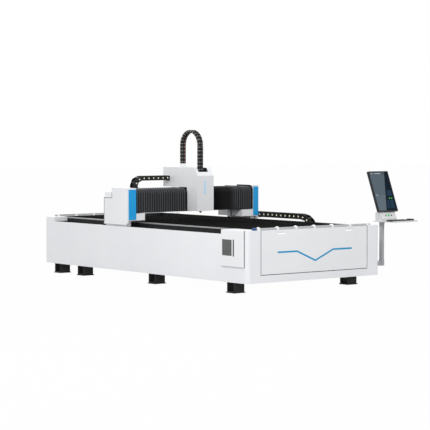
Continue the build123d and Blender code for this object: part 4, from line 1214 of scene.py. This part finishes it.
def gripCup(x, face):
    # a flush pull whose floor slopes from its lower edge to a deep upper edge
    values = gripSet
    fall = (values["deep"] - values["shallow"]) / values["height"]
    wall, clear = values["wall"], values["clear"]
    spots = []
    for inset, extra, back in ((clear, 0, False), (clear, wall, True), (wall, 0, True), (wall, 0, False)):
        flat = slotRing(values["width"] - 2 * inset, values["height"] - 2 * inset, values["sides"])
        for u, v in flat:
            depth = values["shallow"] + fall * (v + values["height"] / 2) + extra if back else clear
            spots.append((x + u, face + depth, values["level"] + v))
    count = len(flat)
    faces = [tuple(range(count, 2 * count)), tuple(range(2 * count, 3 * count))]
    for near, far in ((0, 1), (2, 3), (3, 0)):
        for i in range(count):
            j = (i + 1) % count
            faces.append((near * count + i, near * count + j, far * count + j, far * count + i))
    return outwards(solidFrom("gripCup", spots, faces))


def makeGrips():
    face = low("drawer_front").y
    cups = [gripCup(bedX + side * gripSet["spacing"] / 2, face) for side in (-1, 1)]
    addPiece("grip_cups", joined("grip_cups", cups), "gripWhite", "scrap_drawer")


makeStripe()
makeHeadStrip()
makeLatch()
makeDarkLines()
makeGrips()
print("stripe, light strip, latch, seams and grips")

# head cover mouth: black walls inside the opening paint its shade
mouthSet = {
    "wall": 0.002, "left": -0.096, "width": 0.172, "front": 0.038, "depth": 0.052, "floor": 1.402,
    "drop": 0.005, "bevelDepth": 0.080, "bevelHeight": 0.115, "chainPost": 0.055,
}


def makeMouth():
    values = mouthSet
    start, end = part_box("head_cover")
    x0 = middle("cutting_head").x + values["left"]
    x1 = x0 + values["width"]
    y0 = start.y + values["front"]
    y1 = y0 + values["depth"]
    slope = values["bevelHeight"] / values["bevelDepth"]
    top = end.z - values["chainPost"] - values["drop"]
    edge = top - values["bevelHeight"]
    zFront = edge + values["front"] * slope
    zRear = min(edge + (values["front"] + values["depth"]) * slope, top)
    wall, floor = values["wall"], values["floor"]
    side = [(y0, floor), (y1, floor), (y1, zRear), (y0, zFront)]
    meshes = [prism("mouth", [(x, y, z) for y, z in side], (wall, 0, 0)) for x in (x0 - wall, x1)]
    meshes.append(bar("mouth", (x0, y0 - wall, floor), (x1, y0, zFront)))
    meshes.append(bar("mouth", (x0, y1, floor), (x1, y1 + wall, zRear)))
    addPiece("mouth_lining", joined("mouth_lining", meshes), "slotBlack", "carriage")


makeMouth()
print("mouth lining")


# console
def tile(u0, v0, u1, v1):
    return (u0, v0), (u1, v0), (u1, v1), (u0, v1)


screenSet = {
    "direction": (0, -0.93, 0.37), "lift": 0.0003, "rise": 0.2, "glow": 0.25, "shine": 0.03,
}
screenFields = {
    "screenNavy": ((0.005, 0.010, 0.018), (tile(0, 0, 1, 1),)),
    "screenField": ((0.078, 0.103, 0.126), (((0, 0), (0.41, 0), (0.80, 0.93), (0, 0.93)),)),
    "screenPanel": ((0.094, 0.122, 0.144), (((0, 0), (0.41, 0), (0.578, 0.40), (0, 0.40)),)),
    "screenBar": ((0.062, 0.080, 0.097), (((0, 0.93), (0.80, 0.93), (0.83, 1), (0, 1)),)),
    "screenBlue": ((0.012, 0.032, 0.058), (
        ((0.50, 0.05), (0.66, 0.05), (0.66, 0.27), (0.57, 0.27)), tile(0.70, 0.05, 0.93, 0.27),
        ((0.64, 0.37), (0.93, 0.37), (0.93, 0.52), (0.70, 0.52)),
    )),
    "screenGreen": ((0.06, 0.38, 0.09), (tile(0.71, 0.300, 0.78, 0.330), tile(0.83, 0.300, 0.90, 0.330))),
    "screenPale": ((0.55, 0.60, 0.63), (
        tile(0.06, 0.400, 0.17, 0.410), tile(0.05, 0.955, 0.18, 0.967), tile(0.26, 0.955, 0.60, 0.967),
    )),
}


def makeScreen():
    values = screenSet
    corner, right, up, outward, wide, tall = facePlane("screen", values["direction"])
    meshes = []
    names = list(screenFields)
    for number, name in enumerate(names):
        tone, fields = screenFields[name]
        finishes[name] = glowFinish(name, tone, values["glow"], values["shine"])
        layer = values["lift"] * (1 + number * values["rise"])
        base = corner + outward * layer * values["rise"]
        for field in fields:
            spots = [base + right * wide * u + up * tall * v for u, v in field]
            meshes.append(marked(prism("screenField", spots, outward * layer), number))
    mesh = joined("screen_picture", meshes)
    addPiece("screen_picture", mesh, names[0], "console")
    for name in names[1:]:
        mesh.materials.append(finishes[name])


keySet = {
    "direction": (0, -0.067, 1), "pitch": 0.0195, "columns": 16, "rows": 5, "cap": 0.0165, "height": 0.004,
    "edge": 0.0014,
}


def makeKeys():
    values = keySet
    corner, right, up, outward, wide, tall = facePlane("keyboard", values["direction"])
    tilt = (math.atan2(-outward.y, outward.z), 0, 0)
    half, pitch = values["cap"] / 2, values["pitch"]
    first = corner + right * (wide - pitch * (values["columns"] - 1)) / 2
    first += up * (tall - pitch * (values["rows"] - 1)) / 2
    rows = []
    for row in range(values["rows"]):
        cap = softened(bar("key", (-half, -half, 0), (half, half, values["height"])), values["edge"])
        start = first + up * pitch * row
        rows.append(growRow("keys", cap, "keyBlack", values["columns"], start, right * pitch, tilt))
    addPiece("keyboard_keys", joined("keyboard_keys", rows), "keyBlack", "console")


haloSet = {
    "direction": (0, -0.8924, 0.4512), "sides": 32, "edgeShare": 0.3,
    # each row: button, radius, height, finish and slot
    "rings": (
        ("start_button", 0.024, 0.0012, "haloPale", "button_green"),
        ("left_button", 0.013, 0.002, "consoleWhite", "white_panel"),
        ("right_button", 0.013, 0.002, "consoleWhite", "white_panel"),
    ),
}


def makeButtonRings():
    corner, _, _, outward, _, _ = facePlane("control_box", haloSet["direction"])
    for name, radius, height, finish, slot in haloSet["rings"]:
        spot = middle(name)
        spot -= outward * (spot - corner).dot(outward)
        mesh = disc(name + "_ring", spot, outward, radius, height, haloSet["sides"])
        addPiece(name + "_ring", softened(mesh, height * haloSet["edgeShare"], 1), finish, "console")


collarSet = {
    "grow": 0.0015, "edge": 0.001, "bottom": 0.762, "gusset": 0.030, "gussetDrop": 0.045,
    "gussetDepth": 0.036, "gussetEdge": 0.0015,
}


def makePostCollar():
    values = collarSet
    start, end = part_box("console_post")
    tray = low("keyboard_tray").z
    lowCorner = (start.x - values["grow"], start.y - values["grow"], values["bottom"])
    highCorner = (end.x + values["grow"], end.y + values["grow"], tray)
    mesh = softened(bar("post_collar", lowCorner, highCorner), values["edge"])
    addPiece("post_collar", mesh, "postGrey", "console")
    x, y = highCorner[0], middle("console_post").y - values["gussetDepth"] / 2
    outline = [(x, y, tray), (x, y, tray - values["gussetDrop"]), (x + values["gusset"], y, tray)]
    mesh = softened(prism("post_gusset", outline, (0, values["gussetDepth"], 0)), values["gussetEdge"])
    addPiece("post_gusset", mesh, "postGrey", "console")


makeScreen()
makeKeys()
makeButtonRings()
makePostCollar()
print("console details")

# floor, light and camera
stageSet = {"floorSize": 120, "floorTone": 0.35, "floorRough": 0.9, "floorGlow": 0.985, "skyLight": 1.0}
plainWhite = (1, 1, 1, 1)


def seenDirect(tree):
    path = addNode(tree, "ShaderNodeLightPath")
    rays = [path.outputs[name] for name in ("Is Camera Ray", "Is Glossy Ray", "Is Transmission Ray")]
    return joinMasks(tree, rays, "MAXIMUM")


def makeFloor():
    half = stageSet["floorSize"] / 2
    corners = [(-half, -half, 0), (half, -half, 0), (half, half, 0), (-half, half, 0)]
    floor = addObject("floor", solidFrom("floor", corners, [(0, 1, 2, 3)]))
    finish, tree, shader = newFinish("floorPale")
    tone = (*[stageSet["floorTone"]] * 3, 1)
    setInputs(tree, shader, {"Base Color": tone, "Roughness": stageSet["floorRough"]})
    glow = addNode(tree, "ShaderNodeEmission", {"Color": plainWhite}).outputs["Emission"]
    share = addMath(tree, "MULTIPLY", seenDirect(tree), stageSet["floorGlow"])
    mix = addNode(tree, "ShaderNodeMixShader", {"Fac": share, 1: shader.outputs["BSDF"], 2: glow})
    setInputs(tree, tree.nodes["Material Output"], {"Surface": mix.outputs["Shader"]})
    floor.data.materials.append(finish)


def makeSky():
    world = bpy.data.worlds.new("studio")
    scene.world = world
    world.use_nodes = True
    tree = world.node_tree
    strength = spreadRange(tree, seenDirect(tree), stageSet["skyLight"], 1, (0, 1))
    setInputs(tree, tree.nodes["Background"], {"Color": plainWhite, "Strength": strength})


lampSet = {
    "keyLamp": {"place": (-10, -7.5, 7), "aim": (0, 0, 0.8), "size": 3, "power": 640},
    "frontLamp": {"place": (4, -11, 5), "aim": (0, -1, 0.6), "size": 5, "power": 80},
    "rimLamp": {"place": (2, 9, 8), "aim": (0, 0, 0.8), "size": 6, "power": 220},
}
cameraSet = {
    "place": (-15.547, -19.27, 2.117), "aim": (-0.195, 0, 0.8915), "lens": 144.5, "sensor": 36, "clip": 200,
}


def aimed(name, data, values):
    holder = addObject(name, data)
    holder.location = values["place"]
    direction = Vector(values["aim"]) - Vector(values["place"])
    holder.rotation_euler = direction.to_track_quat("-Z", "Y").to_euler()
    return holder


def makeLamp(name, values):
    lamp = bpy.data.lights.new(name, "AREA")
    lamp.shape = "DISK"
    lamp.size = values["size"]
    lamp.energy = values["power"]
    aimed(name, lamp, values)


def makeCamera():
    data = bpy.data.cameras.new("camera")
    data.lens = cameraSet["lens"]
    data.sensor_width = cameraSet["sensor"]
    data.clip_end = cameraSet["clip"]
    scene.camera = aimed("camera", data, cameraSet)


makeFloor()
makeSky()
for name, values in lampSet.items():
    makeLamp(name, values)
makeCamera()
scene.view_settings.view_transform = "Standard"
print("stage, lamps and camera")
